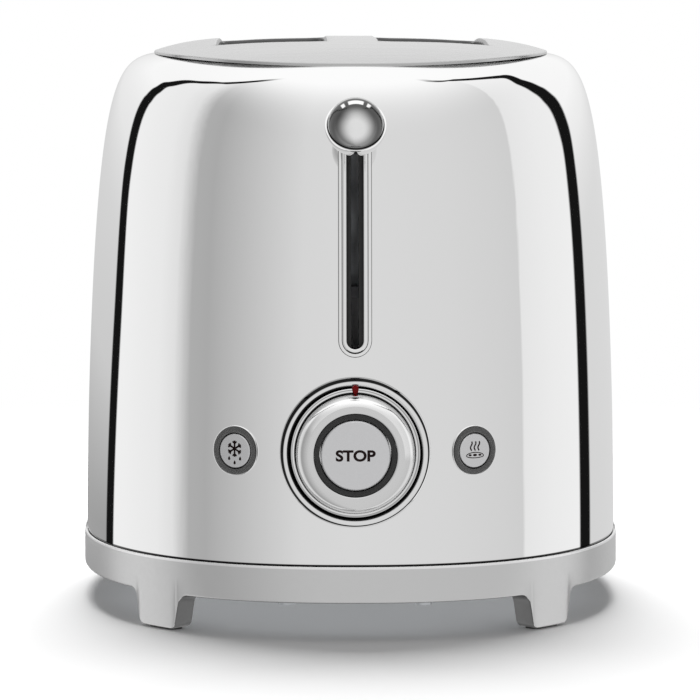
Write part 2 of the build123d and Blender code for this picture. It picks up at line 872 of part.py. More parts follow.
# Carriage: slider, bushes, keeper and racks
rod_spots = [(-rod_across, -rod_forward), (rod_across, -rod_forward)]
with BuildPart() as carriage_slider:
    block(
        (-slider_half_width, -slider_front, slider_bottom),
        (slider_half_width, -slider_back, slider_bottom + slider_height),
    )
    for x, y in rod_spots:
        bar((x, y, slider_bottom), (x, y, slider_bottom + boss_height), boss_radius)
    for x, y in rod_spots:
        bar((x, y, slider_bottom), (x, y, slider_bottom + boss_height), bush_radius, mode=Mode.SUBTRACT)
    lug_top = slider_bottom + boss_height
    lug_half = return_spring_radius + spring_lug_margin
    block(
        (return_spring_across - lug_half, -rod_forward - lug_half, lug_top - spring_lug_height),
        (return_spring_across + lug_half, -slider_front, lug_top),
    )

with BuildPart() as slider_bushes:
    for x, y in rod_spots:
        bar((x, y, slider_bottom), (x, y, slider_bottom + boss_height), bush_radius)
        bar(
            (x, y, slider_bottom),
            (x, y, slider_bottom + boss_height),
            rod_radius + running_gap,
            mode=Mode.SUBTRACT,
        )

with BuildPart() as keeper_plate:
    block(
        (-keeper_half_width, -slider_front - keeper_depth, keeper_bottom),
        (keeper_half_width, -slider_front, slider_bottom),
    )


def bread_rack(side):
    """Blade under a slot with cross fingers, and a flange against the slider."""
    x = side * slot_offset
    rack_top = rack_bottom + rack_height
    rack_end = oven_half_length + chassis_thickness + guide_pin_reach
    with BuildPart() as rack:
        half = rack_thickness / 2
        block((x - half, -slider_back, rack_bottom), (x + half, rack_end, rack_top))
        pitch = slot_length / rack_fingers
        for step in range(rack_fingers):
            y = (step - (rack_fingers - 1) / 2) * pitch
            block(
                (x - rack_finger_reach, y - rack_finger_depth / 2, rack_top - rack_finger_height),
                (x + rack_finger_reach, y + rack_finger_depth / 2, rack_top),
            )
        middle = (rack_bottom + rack_top) / 2
        block(
            (x - rack_finger_reach, -slider_back, middle - rack_flange_height / 2),
            (x + rack_finger_reach, -slider_back + rack_flange_thickness, middle + rack_flange_height / 2),
        )
    return rack


rack_left = bread_rack(-1)
rack_right = bread_rack(1)

# Rods that the carriage runs on, their collars, the bracket at the top and the return spring
with BuildPart() as guide_rods:
    for x, y in rod_spots:
        bar((x, y, floor_top), (x, y, rod_top), rod_radius)

with BuildPart() as rod_feet:
    for x, y in rod_spots:
        bar((x, y, floor_top), (x, y, floor_top + foot_collar_height), foot_collar_radius)
        bar(
            (x, y, floor_top),
            (x, y, floor_top + foot_collar_height),
            rod_radius + running_gap,
            mode=Mode.SUBTRACT,
        )

chassis_face = oven_half_length + chassis_thickness
bracket_bottom = rod_top - bracket_height
with BuildPart() as rod_bracket:
    block(
        (-bracket_half_width, -chassis_face - bracket_reach, bracket_bottom),
        (bracket_half_width, -chassis_face, rod_top),
    )
    for x, y in rod_spots:
        bar((x, y, bracket_bottom), (x, y, rod_top), rod_radius + running_gap, mode=Mode.SUBTRACT)

with BuildPart() as return_spring:
    bar(
        (return_spring_across, -rod_forward, lug_top),
        (return_spring_across, -rod_forward, bracket_bottom),
        return_spring_radius,
    )

# Electromagnet that holds the carriage down, and the switch that it closes
magnet_side = magnet_depth / 2
with BuildPart() as electromagnet_core:
    block(
        (-keeper_half_width, -magnet_forward - magnet_side, floor_top),
        (keeper_half_width, -magnet_forward + magnet_side, magnet_top),
    )
    for side in (-1, 1):
        block(
            (side * magnet_leg, -magnet_forward - magnet_side, floor_top + magnet_base_height),
            (side * (keeper_half_width - magnet_leg), -magnet_forward + magnet_side, magnet_top),
            mode=Mode.SUBTRACT,
        )

with BuildPart() as electromagnet_coil:
    coil_bottom = floor_top + magnet_base_height
    coil_top = magnet_top - coil_end_room
    coil_half = keeper_half_width - magnet_leg - coil_gap
    hole_half = magnet_leg + coil_gap
    coil_side = magnet_side + coil_wall
    hole_side = magnet_side + coil_gap
    block(
        (-coil_half, -magnet_forward - coil_side, coil_bottom),
        (coil_half, -magnet_forward + coil_side, coil_top),
    )
    block(
        (-hole_half, -magnet_forward - hole_side, coil_bottom),
        (hole_half, -magnet_forward + hole_side, coil_top),
        mode=Mode.SUBTRACT,
    )

with BuildPart() as power_switch:
    block(
        (power_switch_inner, -rod_forward - power_switch_depth / 2, floor_top),
        (
            power_switch_inner + power_switch_width,
            -rod_forward + power_switch_depth / 2,
            slider_bottom - lever_travel - power_switch_gap,
        ),
    )

# Dial bezel: a rounded ring seated on the wall, with a barrel that goes through it
with BuildPart() as dial_bezel:
    with BuildSketch(dial_profile):
        with BuildLine():
            crest = dial_bezel_bore + dial_bezel_crest
            shoulder = dial_bezel_front - dial_bezel_roll
            RadiusArc((shoulder, dial_bezel_bore), (dial_bezel_front, crest), dial_bezel_arc)
            RadiusArc((dial_bezel_front, crest), (shoulder, dial_bezel_radius), dial_bezel_arc)
            Polyline(
                (shoulder, dial_bezel_radius),
                (front_cut_start, dial_bezel_radius),
                (front_cut_start, dial_bezel_bore),
                (shoulder, dial_bezel_bore),
            )
        make_face()
    revolve(axis=dial_axis)
    add(sleeve_outside, mode=Mode.SUBTRACT)
    with BuildSketch(front_plane(housing_front)):
        with Locations((0, dial_z)):
            Circle(dial_barrel_radius)
            Circle(dial_bezel_bore, mode=Mode.SUBTRACT)
    extrude(amount=shoulder - housing_front)

# Dial housing on posts from the board; its hub is the bearing of the dial's hollow shaft
with BuildPart() as dial_housing:
    with BuildSketch(front_plane(housing_front - housing_thickness)):
        with Locations((0, dial_z)):
            Circle(dial_barrel_radius)
    extrude(amount=housing_thickness)
    with BuildSketch(front_plane(housing_hub_back)):
        with Locations((0, dial_z)):
            Circle(sleeve_shaft_radius + running_gap + housing_hub_wall)
    extrude(amount=housing_front - housing_hub_back)
    with BuildSketch(front_plane(board_forward)):
        with Locations((0, dial_z)):
            with GridLocations(2 * housing_post_offset, 2 * housing_post_offset, 2, 2):
                Circle(housing_post_radius)
    extrude(amount=housing_front - housing_thickness - board_forward)
    with BuildSketch(front_plane(board_forward)):
        with Locations((0, dial_z)):
            Circle(sleeve_shaft_radius + running_gap)
    extrude(amount=housing_front - board_forward, mode=Mode.SUBTRACT)

# Browning dial, turned from profiles of (forward, radius): a crown ring clamps a skirted carrier
# to the flange of a hub
with BuildPart() as dial_knob:
    with BuildSketch(dial_profile):
        with BuildLine():
            crown_lip = knob_bore_radius + knob_bore_lip
            Polyline(
                (knob_rim_front, knob_crown_radius),
                (knob_floor_front, knob_crown_radius),
                (knob_floor_front, knob_bore_radius),
                (knob_crown_front, knob_bore_radius),
                (knob_crown_front, crown_lip),
            )
            ThreePointArc(
                (knob_crown_front, crown_lip),
                (
                    knob_rim_front + knob_shoulder_fullness * (knob_crown_front - knob_rim_front),
                    crown_lip + knob_shoulder_fullness * (knob_crown_radius - crown_lip),
                ),
                (knob_rim_front, knob_crown_radius),
            )
        make_face()
    revolve(axis=dial_axis)

with BuildPart() as dial_hub:
    with BuildSketch(dial_profile):
        with BuildLine():
            floor_back = knob_floor_front - knob_floor_thickness
            boss_radius_out = sleeve_shaft_radius + knob_boss_wall
            Polyline(
                (knob_back, sleeve_shaft_radius),
                (knob_floor_front, sleeve_shaft_radius),
                (knob_floor_front, hub_flange_radius),
                (floor_back, hub_flange_radius),
                (floor_back, boss_radius_out),
                (knob_back, boss_radius_out),
                close=True,
            )
        make_face()
    revolve(axis=dial_axis)

with BuildPart() as dial_carrier:
    with BuildSketch(dial_profile):
        with BuildLine():
            groove_back = knob_ledge_front - knob_groove_depth
            carrier_bore = hub_flange_radius + seat_gap
            Polyline(
                (floor_back, carrier_bore),
                (knob_floor_front, carrier_bore),
                (knob_floor_front, knob_crown_radius),
                (groove_back, knob_crown_radius),
                (groove_back, knob_ledge_inner),
                (knob_ledge_front, knob_ledge_inner),
                (knob_ledge_front, knob_skirt_radius),
                (knob_back, knob_skirt_radius),
                (knob_back, knob_skirt_radius - knob_wall),
                (floor_back, knob_skirt_radius - knob_wall),
                close=True,
            )
        make_face()
    revolve(axis=dial_axis)

with BuildPart() as dial_sleeve:
    with BuildSketch(front_plane(sleeve_shaft_back)):
        with Locations((0, dial_z)):
            Circle(sleeve_shaft_radius)
            Circle(sleeve_shaft_bore, mode=Mode.SUBTRACT)
    extrude(amount=knob_floor_front - sleeve_shaft_back)

with BuildPart() as dial_pointer:
    with BuildSketch(front_plane(knob_ledge_front)):
        with Locations((0, dial_z + pointer_radius_at)):
            Ellipse(pointer_half_width, pointer_half_length)
    extrude(amount=pointer_thickness)
    fillet(dial_pointer.faces().sort_by(Axis.Y)[0].edges(), pointer_edge_roll)

with BuildPart() as light_ring:
    with BuildSketch(front_plane(knob_floor_front)):
        with Locations((0, dial_z)):
            Circle(knob_bore_radius - seat_gap)
            Circle(stop_radius + light_ring_gap, mode=Mode.SUBTRACT)
    extrude(amount=light_ring_front - knob_floor_front)

# Stop button: a cap in the middle of the dial with a stem down the hollow shaft
switch_top = board_forward + stop_switch_depth
plunger_top = switch_top + stop_plunger_height
with BuildPart() as stop_button:
    with BuildSketch(front_plane(stop_front - stop_thickness)):
        with Locations((0, dial_z)):
            Circle(stop_radius)
    extrude(amount=stop_thickness)
    fillet(stop_button.faces().sort_by(Axis.Y)[0].edges(), stop_edge_roll)
    stem_tip = plunger_top + stop_travel + press_gap
    bar((0, -stem_tip, dial_z), (0, stop_thickness - stop_front, dial_z), stop_stem_radius)

with BuildPart() as stop_switch:
    block(
        (-stop_switch_half, -switch_top, dial_z - stop_switch_half),
        (stop_switch_half, -board_forward, dial_z + stop_switch_half),
    )
    bar((0, -switch_top, dial_z), (0, -plunger_top, dial_z), stop_plunger_radius)

with BuildPart() as dial_potentiometer:
    with BuildSketch(front_plane(board_forward)):
        with Locations((0, dial_z)):
            Circle(pot_radius)
            Circle(sleeve_shaft_radius + press_gap, mode=Mode.SUBTRACT)
    extrude(amount=pot_front - board_forward)


def button_bezel(side):
    """Ring seated on the wall round a button, with a barrel through the wall."""
    with BuildPart() as ring:
        with BuildSketch(button_plane(side, -button_barrel_length / 2)):
            Circle(button_bezel_radius)
        extrude(amount=button_barrel_length / 2 + button_bezel_proud)
        add(sleeve_outside, mode=Mode.SUBTRACT)
        with BuildSketch(button_plane(side, -button_barrel_length)):
            Circle(button_barrel_radius)
        extrude(amount=button_barrel_length)
        with BuildSketch(button_plane(side, -button_barrel_length)):
            Circle(button_bezel_bore)
        extrude(amount=button_barrel_length + 2 * button_bezel_proud, mode=Mode.SUBTRACT)
    return ring


def round_button(side):
    """Round cap with a push rod behind it."""
    with BuildPart() as button:
        with BuildSketch(button_plane(side, -button_cap_depth)):
            Circle(button_cap_radius)
        extrude(amount=button_cap_depth + button_cap_proud)
        fillet(button.faces().sort_by(Axis.Y)[0].edges(), button_edge_roll)
        with BuildSketch(button_plane(side, -button_cap_depth - button_rod_length)):
            Circle(button_rod_radius)
        extrude(amount=button_rod_length)
    return button


# Push switches of the two round buttons, square to each button's rod and cut off at the board
with BuildPart() as mode_switches:
    for side in (-1, 1):
        start = button_cap_depth + button_rod_length + button_travel + press_gap
        with BuildSketch(button_plane(side, -start)):
            Rectangle(2 * switch_half_size, 2 * switch_half_size)
        extrude(amount=-button_rod_length)
    block(
        (-sleeve_half_width, -board_forward, 0),
        (sleeve_half_width, sleeve_half_length, sleeve_top),
        mode=Mode.SUBTRACT,
    )

defrost_bezel = button_bezel(-1)
reheat_bezel = button_bezel(1)
defrost_button = round_button(-1)
reheat_button = round_button(1)

# Control board on a bracket, with standoffs and screws
board_top = board_bottom + board_height
standoff_spots = [
    (side * standoff_across, height)
    for side in (-1, 1)
    for height in (board_bottom + standoff_inset, board_top - standoff_inset)
]
with BuildPart() as control_board:
    with BuildSketch(front_plane(board_back)):
        with Locations((0, board_bottom + board_height / 2)):
            Rectangle(2 * board_half_width, board_height)
        with Locations(*standoff_spots):
            Circle(screw_radius + screw_hole_gap, mode=Mode.SUBTRACT)
    extrude(amount=board_thickness)

with BuildPart() as board_components:
    for place, (width, depth, height) in ((relay_place, relay_size), (chip_place, chip_size)):
        block(
            (place[0] - width / 2, -board_forward - depth, place[1] - height / 2),
            (place[0] + width / 2, -board_forward, place[1] + height / 2),
        )
    x, height = capacitor_place
    bar((x, -board_forward, height), (x, -board_forward - capacitor_length, height), capacitor_radius)

with BuildPart() as board_bracket:
    bracket_back = bracket_front - bracket_plate_thickness
    with BuildSketch(front_plane(bracket_back)):
        with Locations((0, (floor_top + board_top) / 2)):
            Rectangle(2 * board_half_width, board_top - floor_top)
        with Locations(*standoff_spots):
            Circle(screw_radius + screw_hole_gap, mode=Mode.SUBTRACT)
    extrude(amount=bracket_plate_thickness)
    block(
        (-board_half_width, -bracket_front - bracket_foot_length, floor_top),
        (board_half_width, -bracket_front, floor_top + bracket_plate_thickness),
    )
    with BuildSketch(front_plane(bracket_front)):
        with Locations(*standoff_spots):
            Circle(standoff_radius)
            Circle(screw_radius + screw_hole_gap, mode=Mode.SUBTRACT)
    extrude(amount=standoff_height)

with BuildPart() as board_screws:
    for x, height in standoff_spots:
        bar((x, -bracket_back, height), (x, -board_forward, height), screw_radius)
        bar((x, -board_forward, height), (x, -board_forward - screw_head_height, height), screw_head_radius)

# Terminal block on the rear chassis plate, and the cord's gland in the bottom plate
terminal_back = chassis_face + terminal_depth
with BuildPart() as terminal_block:
    block(
        (-terminal_half_width, chassis_face, terminal_bottom),
        (terminal_half_width, terminal_back, terminal_bottom + terminal_height),
    )
    with Locations((0, chassis_face + terminal_depth / 2, terminal_bottom)):
        with GridLocations(2 * terminal_half_width / terminal_ways, 1, terminal_ways, 1):
            Hole(terminal_hole_radius, depth=terminal_hole_depth)

with BuildPart() as cord_gland:
    with BuildSketch(Plane.XY.offset(flange_top - gland_flange_thickness)):
        with Locations((-gland_across, gland_back)):
            Circle(gland_flange_radius)
    extrude(amount=gland_flange_thickness)
    with BuildSketch(Plane.XY.offset(flange_top)):
        with Locations((-gland_across, gland_back)):
            Circle(gland_barrel_radius)
    extrude(amount=gland_barrel_height)
    with BuildSketch(Plane.XY.offset(flange_top - gland_flange_thickness)):
        with Locations((-gland_across, gland_back)):
            Circle(gland_bore_radius)
    extrude(amount=gland_flange_thickness + gland_barrel_height, mode=Mode.SUBTRACT)

pieces = {
    "body_shell": body_shell,
    "top_plate": top_plate,
    "base_skirt": base_skirt,
    "foot_pads": foot_pads,
    "bottom_plate": bottom_plate,
    "bottom_screws": bottom_screws,
    "chassis_screws": chassis_screws,
    "crumb_tray": crumb_tray,
    "chassis_front": chassis_front,
    "chassis_rear": chassis_rear,
    "side_shield_left": side_shield_left,
    "side_shield_right": side_shield_right,
    "heater_card_left": heater_card_left,
    "heater_card_center": heater_card_center,
    "heater_card_right": heater_card_right,
    "heater_ribbon_left": heater_ribbon_left,
    "heater_ribbon_center": heater_ribbon_center,
    "heater_ribbon_right": heater_ribbon_right,
    "guide_left_outer": guide_left_outer,
    "guide_left_inner": guide_left_inner,
    "guide_right_inner": guide_right_inner,
    "guide_right_outer": guide_right_outer,
    "slot_bezel": slot_bezel,
    "slot_liner": slot_liner,
    "lever_knob": lever_knob,
    "lever_cup": lever_cup,
    "lever_arm": lever_arm,
    "carriage_slider": carriage_slider,
    "slider_bushes": slider_bushes,
    "keeper_plate": keeper_plate,
    "rack_left": rack_left,
    "rack_right": rack_right,
    "guide_rods": guide_rods,
    "rod_feet": rod_feet,
    "rod_bracket": rod_bracket,
    "return_spring": return_spring,
    "electromagnet_core": electromagnet_core,
    "electromagnet_coil": electromagnet_coil,
    "power_switch": power_switch,
    "dial_bezel": dial_bezel,
    "dial_housing": dial_housing,
    "dial_knob": dial_knob,
    "dial_carrier": dial_carrier,
    "dial_hub": dial_hub,
    "dial_sleeve": dial_sleeve,
    "dial_pointer": dial_pointer,
    "light_ring": light_ring,
    "stop_button": stop_button,
    "stop_switch": stop_switch,
    "dial_potentiometer": dial_potentiometer,
    "defrost_bezel": defrost_bezel,
    "reheat_bezel": reheat_bezel,
    "defrost_button": defrost_button,
    "reheat_button": reheat_button,
    "mode_switches": mode_switches,
    "control_board": control_board,
    "board_components": board_components,
    "board_bracket": board_bracket,
    "board_screws": board_screws,
    "terminal_block": terminal_block,
    "cord_gland": cord_gland,
}
for label, piece in pieces.items():
    piece.part.label = label
    export_step(piece.part, f"parts/{label}.step")
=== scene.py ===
import json
from math import atan2, cos, hypot, pi, radians, sin, tan

import bmesh
import bpy
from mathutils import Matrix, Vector
from mathutils.geometry import delaunay_2d_cdt


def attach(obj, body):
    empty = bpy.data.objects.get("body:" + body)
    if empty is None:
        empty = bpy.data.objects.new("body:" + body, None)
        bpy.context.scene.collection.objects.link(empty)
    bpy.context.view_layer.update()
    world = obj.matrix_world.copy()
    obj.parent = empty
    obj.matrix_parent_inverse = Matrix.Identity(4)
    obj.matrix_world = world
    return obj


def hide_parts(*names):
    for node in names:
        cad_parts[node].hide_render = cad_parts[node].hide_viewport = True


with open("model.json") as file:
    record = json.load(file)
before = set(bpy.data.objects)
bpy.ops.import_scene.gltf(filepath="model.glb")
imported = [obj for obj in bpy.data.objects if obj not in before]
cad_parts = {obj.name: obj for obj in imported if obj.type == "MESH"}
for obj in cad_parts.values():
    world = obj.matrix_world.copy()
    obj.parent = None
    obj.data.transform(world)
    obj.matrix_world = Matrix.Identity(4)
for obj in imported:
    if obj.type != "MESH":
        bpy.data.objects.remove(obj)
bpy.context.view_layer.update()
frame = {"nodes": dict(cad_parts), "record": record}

mm = 0.001
print("packed model loaded")

# Camera, at the photograph's angle
cameraSetup = {"place": (-0.0213, -1.743, 0.217), "aim": (0, 0, 0.0873), "lens": 246.5, "sensor": 36}


def addObject(name, data):
    thing = bpy.data.objects.new(name, data)
    bpy.context.scene.collection.objects.link(thing)
    return thing


def makeCamera():
    lens = bpy.data.cameras.new("camera")
    lens.lens = cameraSetup["lens"]
    lens.sensor_width = cameraSetup["sensor"]
    lens.clip_end = 50
    holder = addObject("camera", lens)
    holder.location = cameraSetup["place"]
    look = Vector(cameraSetup["aim"]) - holder.location
    holder.rotation_euler = look.to_track_quat("-Z", "Y").to_euler()
    bpy.context.scene.camera = holder


makeCamera()
bpy.context.scene.view_settings.view_transform = "Standard"
print("camera placed")


# A socket that takes part in Python expressions
class Wire:
    def __init__(self, tree, socket):
        self.tree = tree
        self.socket = socket

    def maths(self, operation, *others):
        node = self.tree.nodes.new("ShaderNodeMath")
        node.operation = operation
        for plug, value in zip(node.inputs, others):
            if isinstance(value, Wire):
                self.tree.links.new(value.socket, plug)
            else:
                plug.default_value = value
        return Wire(self.tree, node.outputs[0])

    def __add__(self, other):
        return self.maths("ADD", self, other)

    def __radd__(self, other):
        return self.maths("ADD", other, self)

    def __sub__(self, other):
        return self.maths("SUBTRACT", self, other)

    def __rsub__(self, other):
        return self.maths("SUBTRACT", other, self)

    def __mul__(self, other):
        return self.maths("MULTIPLY", self, other)

    def __rmul__(self, other):
        return self.maths("MULTIPLY", other, self)

    def __truediv__(self, other):
        return self.maths("DIVIDE", self, other)

    def __gt__(self, other):
        return self.maths("GREATER_THAN", self, other)

    def __lt__(self, other):
        return self.maths("LESS_THAN", self, other)

    def outputs(self, *names):  # other outputs of the same node
        return [Wire(self.tree, self.socket.node.outputs[name]) for name in names]

    def size(self):
        return self.maths("ABSOLUTE", self)

    def above(self, other):
        return self.maths("MAXIMUM", self, other)


# Node tree of one material or of the world
class Finish:
    def __init__(self, owner):
        owner.use_nodes = True
        self.owner = owner
        self.tree = owner.node_tree
        self.tree.nodes.clear()

    def node(self, kind, settings=None, values=None, output=0):
        made = self.tree.nodes.new(kind)
        for name, value in (settings or {}).items():
            if name == "stops":
                elements = made.color_ramp.elements
                for index, (place, shade) in enumerate(value):
                    stop = elements[index] if index < 2 else elements.new(place)
                    stop.position = place
                    stop.color = (shade, shade, shade, 1)
            elif name == "ramp":
                made.color_ramp.interpolation = value
            else:
                setattr(made, name, value)
        for name, value in (values or {}).items():
            plug = made.inputs[name]
            if isinstance(value, Wire):
                self.tree.links.new(value.socket, plug)
            else:
                plug.default_value = value
        return Wire(self.tree, made.outputs[output])

    def place(self, stretch=(1, 1, 1)):  # object coordinates in metres, scaled along each axis
        where = self.node("ShaderNodeTexCoord", output="Object")
        return self.node("ShaderNodeMapping", values={"Vector": where, "Scale": stretch})

    def noise(self, scale, stretch=(1, 1, 1), detail=3):
        values = {"Vector": self.place(stretch), "Scale": scale, "Detail": detail, "Distortion": 0.0}
        return self.node("ShaderNodeTexNoise", values=values, output="Fac")

    def ease(self, value, low, high, start=0.0, end=1.0):  # smooth step from start to end
        values = {"Value": value, "From Min": low, "From Max": high, "To Min": start, "To Max": end}
        return self.node("ShaderNodeMapRange", {"interpolation_type": "SMOOTHSTEP"}, values)

    def blendColours(self, mask, first, second):
        return self.node(
            "ShaderNodeMix",
            {"data_type": "RGBA"},
            {"Factor": mask, 6: (*first, 1) if isinstance(first, tuple) else first, 7: (*second, 1)},
            output=2,
        )

    def bump(self, height, distance):
        return self.node("ShaderNodeBump", values={"Height": height, "Distance": distance, "Strength": 1.0})

    def close(self, shader, kind="ShaderNodeOutputMaterial"):
        out = self.tree.nodes.new(kind)
        self.tree.links.new(shader.socket, out.inputs["Surface"])
        return self.owner


# Studio. The mirror sleeve shows its walls, so they are painted by direction on the world: pale in front,
# a white panel on each side, white overhead, and behind each panel a black flag that leans forward as it
# rises. A stop is (place, value). Wall stops go over the azimuth from the front, in shares of half a turn.
# Behind and Flag stops go over the height, in shares of climbOver degrees from climbFrom up. The values of
# Flag are azimuths of the flag's middle; all other values are shades
studio = {
    "leftWall": (
        (0, 0.74), (0.11, 0.72), (0.25, 0.59), (0.42, 0.43), (0.48, 0.45), (0.54, 0.8), (0.6, 0.88),
        (0.74, 0.93),
    ),
    "rightWall": (
        (0, 0.74), (0.25, 0.72), (0.42, 0.69), (0.5, 0.67), (0.508, 0.85), (0.62, 0.9), (0.74, 0.93),
    ),
    "leftBehind": ((0.04, 0.36), (0.065, 0.62), (0.1, 0.7), (0.14, 0.84), (0.2, 0.9), (0.3, 1.0)),
    "rightBehind": ((0.04, 0.7), (0.1, 0.74), (0.14, 0.88), (0.2, 0.98), (0.3, 1.0)),
    "leftFlag": (
        (0.04, 0.8), (0.08, 0.78), (0.13, 0.776), (0.227, 0.755), (0.28, 0.74), (0.35, 0.718), (0.46, 0.654),
        (0.56, 0.557), (0.75, 0.456),
    ),
    "rightFlag": (
        (0.04, 0.757), (0.12, 0.753), (0.17, 0.747), (0.245, 0.725), (0.31, 0.704), (0.41, 0.683),
        (0.52, 0.676), (0.69, 0.502), (0.75, 0.412),
    ),
    "climbFrom": -10,
    "climbOver": 100,
    "streakScale": 26.0,
    "streakDepth": 0.012,
    "leftHalf": 0.019,
    "rightHalf": 0.026,
    "flagEdge": (0.75, 1.1),
    "flagEnd": (60, 72),
    "flagShade": 0.008,
    "overhead": 1.06,
    "sky": (26, 74),
    "diffuseShare": 0.3,
    "floorReach": 20,
    "floorShade": 0.92,
    "floorGrain": 60.0,
    "floorGrainDepth": 0.004,
    "floorGlow": (0.03, 1.0),
    "floorFade": (0.32, 0.8),
    "lampPlace": (-0.02, 0.5, 1.2),
    "lampSize": 0.9,
    "lampPower": 25.5,
}


def parts(finish, vector):  # the three numbers of a vector
    return finish.node("ShaderNodeSeparateXYZ", values={"Vector": vector}).outputs(0, 1, 2)


def greyColour(finish, shade):
    return finish.node("ShaderNodeCombineColor", values={"Red": shade, "Green": shade, "Blue": shade})


def paintStudio():
    world = bpy.data.worlds.new("studio")
    bpy.context.scene.world = world
    sky = Finish(world)
    way = sky.node("ShaderNodeTexCoord", output="Generated")
    across, along, up = parts(sky, way)
    azimuth = across.maths("ARCTAN2", across, 0 - along)
    share = azimuth.size() / pi
    height = up.maths("ARCSINE", up) * (180 / pi)
    climb = (height - studio["climbFrom"]) / studio["climbOver"]
    right, left = azimuth > 0, azimuth < 0

    def bySide(name, place, ramp="LINEAR"):
        sides = [
            sky.node("ShaderNodeValToRGB", {"stops": studio[side + name], "ramp": ramp}, {"Fac": place})
            for side in ("left", "right")
        ]
        return sides[0] * left + sides[1] * right

    values = {"Vector": way, "Scale": studio["streakScale"], "Detail": 3.0}
    streaks = sky.node("ShaderNodeTexNoise", values=values, output="Fac")
    panel = bySide("Wall", share + (streaks - 0.5) * studio["streakDepth"])
    flagMiddle = bySide("Flag", climb, "CARDINAL")
    past = share > flagMiddle
    wall = panel * (1 - past) + bySide("Behind", climb) * past
    half = left * studio["leftHalf"] + right * studio["rightHalf"]
    onFlag = sky.ease((share - flagMiddle).size() / half, *studio["flagEdge"], 1, 0)
    flag = onFlag * sky.ease(height, *studio["flagEnd"], 1, 0)
    cover = sky.ease(height, *studio["sky"])
    unflagged = wall * (1 - cover) + cover * studio["overhead"]
    shade = unflagged * (1 - flag) + flag * studio["flagShade"]
    isCamera, isDiffuse = sky.node("ShaderNodeLightPath").outputs("Is Camera Ray", "Is Diffuse Ray")
    dimmed = shade * (1 - isDiffuse * (1 - studio["diffuseShare"]))
    walls = sky.node("ShaderNodeBackground", values={"Color": greyColour(sky, dimmed)})
    plain = sky.node("ShaderNodeBackground", values={"Color": (1, 1, 1, 1)})
    mixed = sky.node("ShaderNodeMixShader", values={0: isCamera, 1: walls, 2: plain})
    sky.close(mixed, "ShaderNodeOutputWorld")


def layFloor():
    reach = studio["floorReach"]
    mesh = bpy.data.meshes.new("floor")
    corners = [(-reach, -reach, 0), (reach, -reach, 0), (reach, reach, 0), (-reach, reach, 0)]
    mesh.from_pydata(corners, [], [(0, 1, 2, 3)])
    plane = addObject("floor", mesh)
    paint = Finish(bpy.data.materials.new("floor"))
    seen = paint.node("ShaderNodeLightPath", output="Is Camera Ray")
    where = paint.node("ShaderNodeTexCoord", output="Object")
    away = paint.node("ShaderNodeVectorMath", {"operation": "LENGTH"}, {0: where}, output="Value")
    grain = paint.noise(studio["floorGrain"], detail=2)
    shade = studio["floorShade"] + (grain - 0.5) * studio["floorGrainDepth"]
    matt = paint.node("ShaderNodeBsdfDiffuse", values={"Color": greyColour(paint, shade)})
    white = paint.node("ShaderNodeEmission", values={"Color": (1, 1, 1, 1)})
    fade = seen * paint.ease(away, *studio["floorFade"], *studio["floorGlow"])
    mixed = paint.node("ShaderNodeMixShader", values={0: fade, 1: matt, 2: white})
    mesh.materials.append(paint.close(mixed))
    plane.visible_glossy = False


def hangLamp():
    lamp = bpy.data.lights.new("lamp", "AREA")
    lamp.shape = "DISK"
    lamp.size = studio["lampSize"]
    lamp.energy = studio["lampPower"]
    holder = addObject("lamp", lamp)
    holder.location = studio["lampPlace"]
    holder.rotation_euler = (-Vector(studio["lampPlace"])).to_track_quat("-Z", "Y").to_euler()
    holder.visible_glossy = False
    holder.visible_camera = False


paintStudio()
layFloor()
hangLamp()
print("studio built")


# Materials: each is a function of its colour and roughness, with its own grain
texture = {
    "span": (0.3, 0.7),  # where nearly all of the noise lies
    "metalPatches": 14.0,
    "plasticPatches": 30.0,
    "plasticTint": 0.14,
    "plasticWear": 0.08,
}


def grey(value):
    return (value, value, value)


def darker(shade, share):
    return tuple(part * (1 - share) for part in shade)


def metal(name, shade, rough, grain=300.0, stretch=(1, 1, 1), wear=0.02, relief=0.0, tint=0.03, marks=()):
    paint = Finish(bpy.data.materials.new(name))
    fine = paint.noise(grain, stretch)
    broad = paint.noise(texture["metalPatches"], detail=2)
    colour = paint.blendColours(broad, shade, darker(shade, tint))
    # marks paint shade, highlights and reflections into the colour by position
    for mask, tone in marks:
        colour = paint.blendColours(mask(paint), colour, grey(tone))
    roughness = paint.ease(fine, *texture["span"], rough, rough + wear)
    values = {"Base Color": colour, "Metallic": 1.0, "Roughness": roughness}
    if relief:
        values["Normal"] = paint.bump(fine, relief)
    return paint.close(paint.node("ShaderNodeBsdfPrincipled", values=values))


def plastic(name, shade, rough, grain=800.0, relief=0.00002, shine=0.5):
    paint = Finish(bpy.data.materials.new(name))
    fine = paint.noise(grain)
    broad = paint.noise(texture["plasticPatches"])
    values = {
        "Base Color": paint.blendColours(broad, shade, darker(shade, texture["plasticTint"])),
        "Roughness": paint.ease(fine, *texture["span"], rough, rough + texture["plasticWear"]),
        "Specular IOR Level": shine,
        "Normal": paint.bump(fine, relief),
    }
    return paint.close(paint.node("ShaderNodeBsdfPrincipled", values=values))


# Masks of painted shade, painted highlights and painted reflections over a metal by position: heights and
# radii in millimetres, turns in radians from the top
masks = {
    "sleeveFootShade": (25.4, 25.7),
    "inward": -14,
    "facingDown": -0.7,
    "underBase": (12.8, 13.6),
    "baseBevelHighlight": (23.95, 24.1),
    "slotMargin": 0.7,
    "ballMiddle": -0.9,
    "ballDark": (2.4, 7.6),
    "ballArc": (7.2, 8.3, 0.15),
    "topGlint": (0.3, 0.36),
    "sideGlint": (0.5, 0.66, 0.03),
    "ballRim": (8.75, 9.1),
    "ballRimShare": 0.5,
    "crescent": (16.4, 18.9, 0.12),
    "crescentTurn": (-1.05, 1.6, 0.1),
    "ringEdge": (0.6, 1.15),
}


def placeIn(paint):  # object coordinates in millimetres
    return [part / mm for part in parts(paint, paint.node("ShaderNodeTexCoord", output="Object"))]


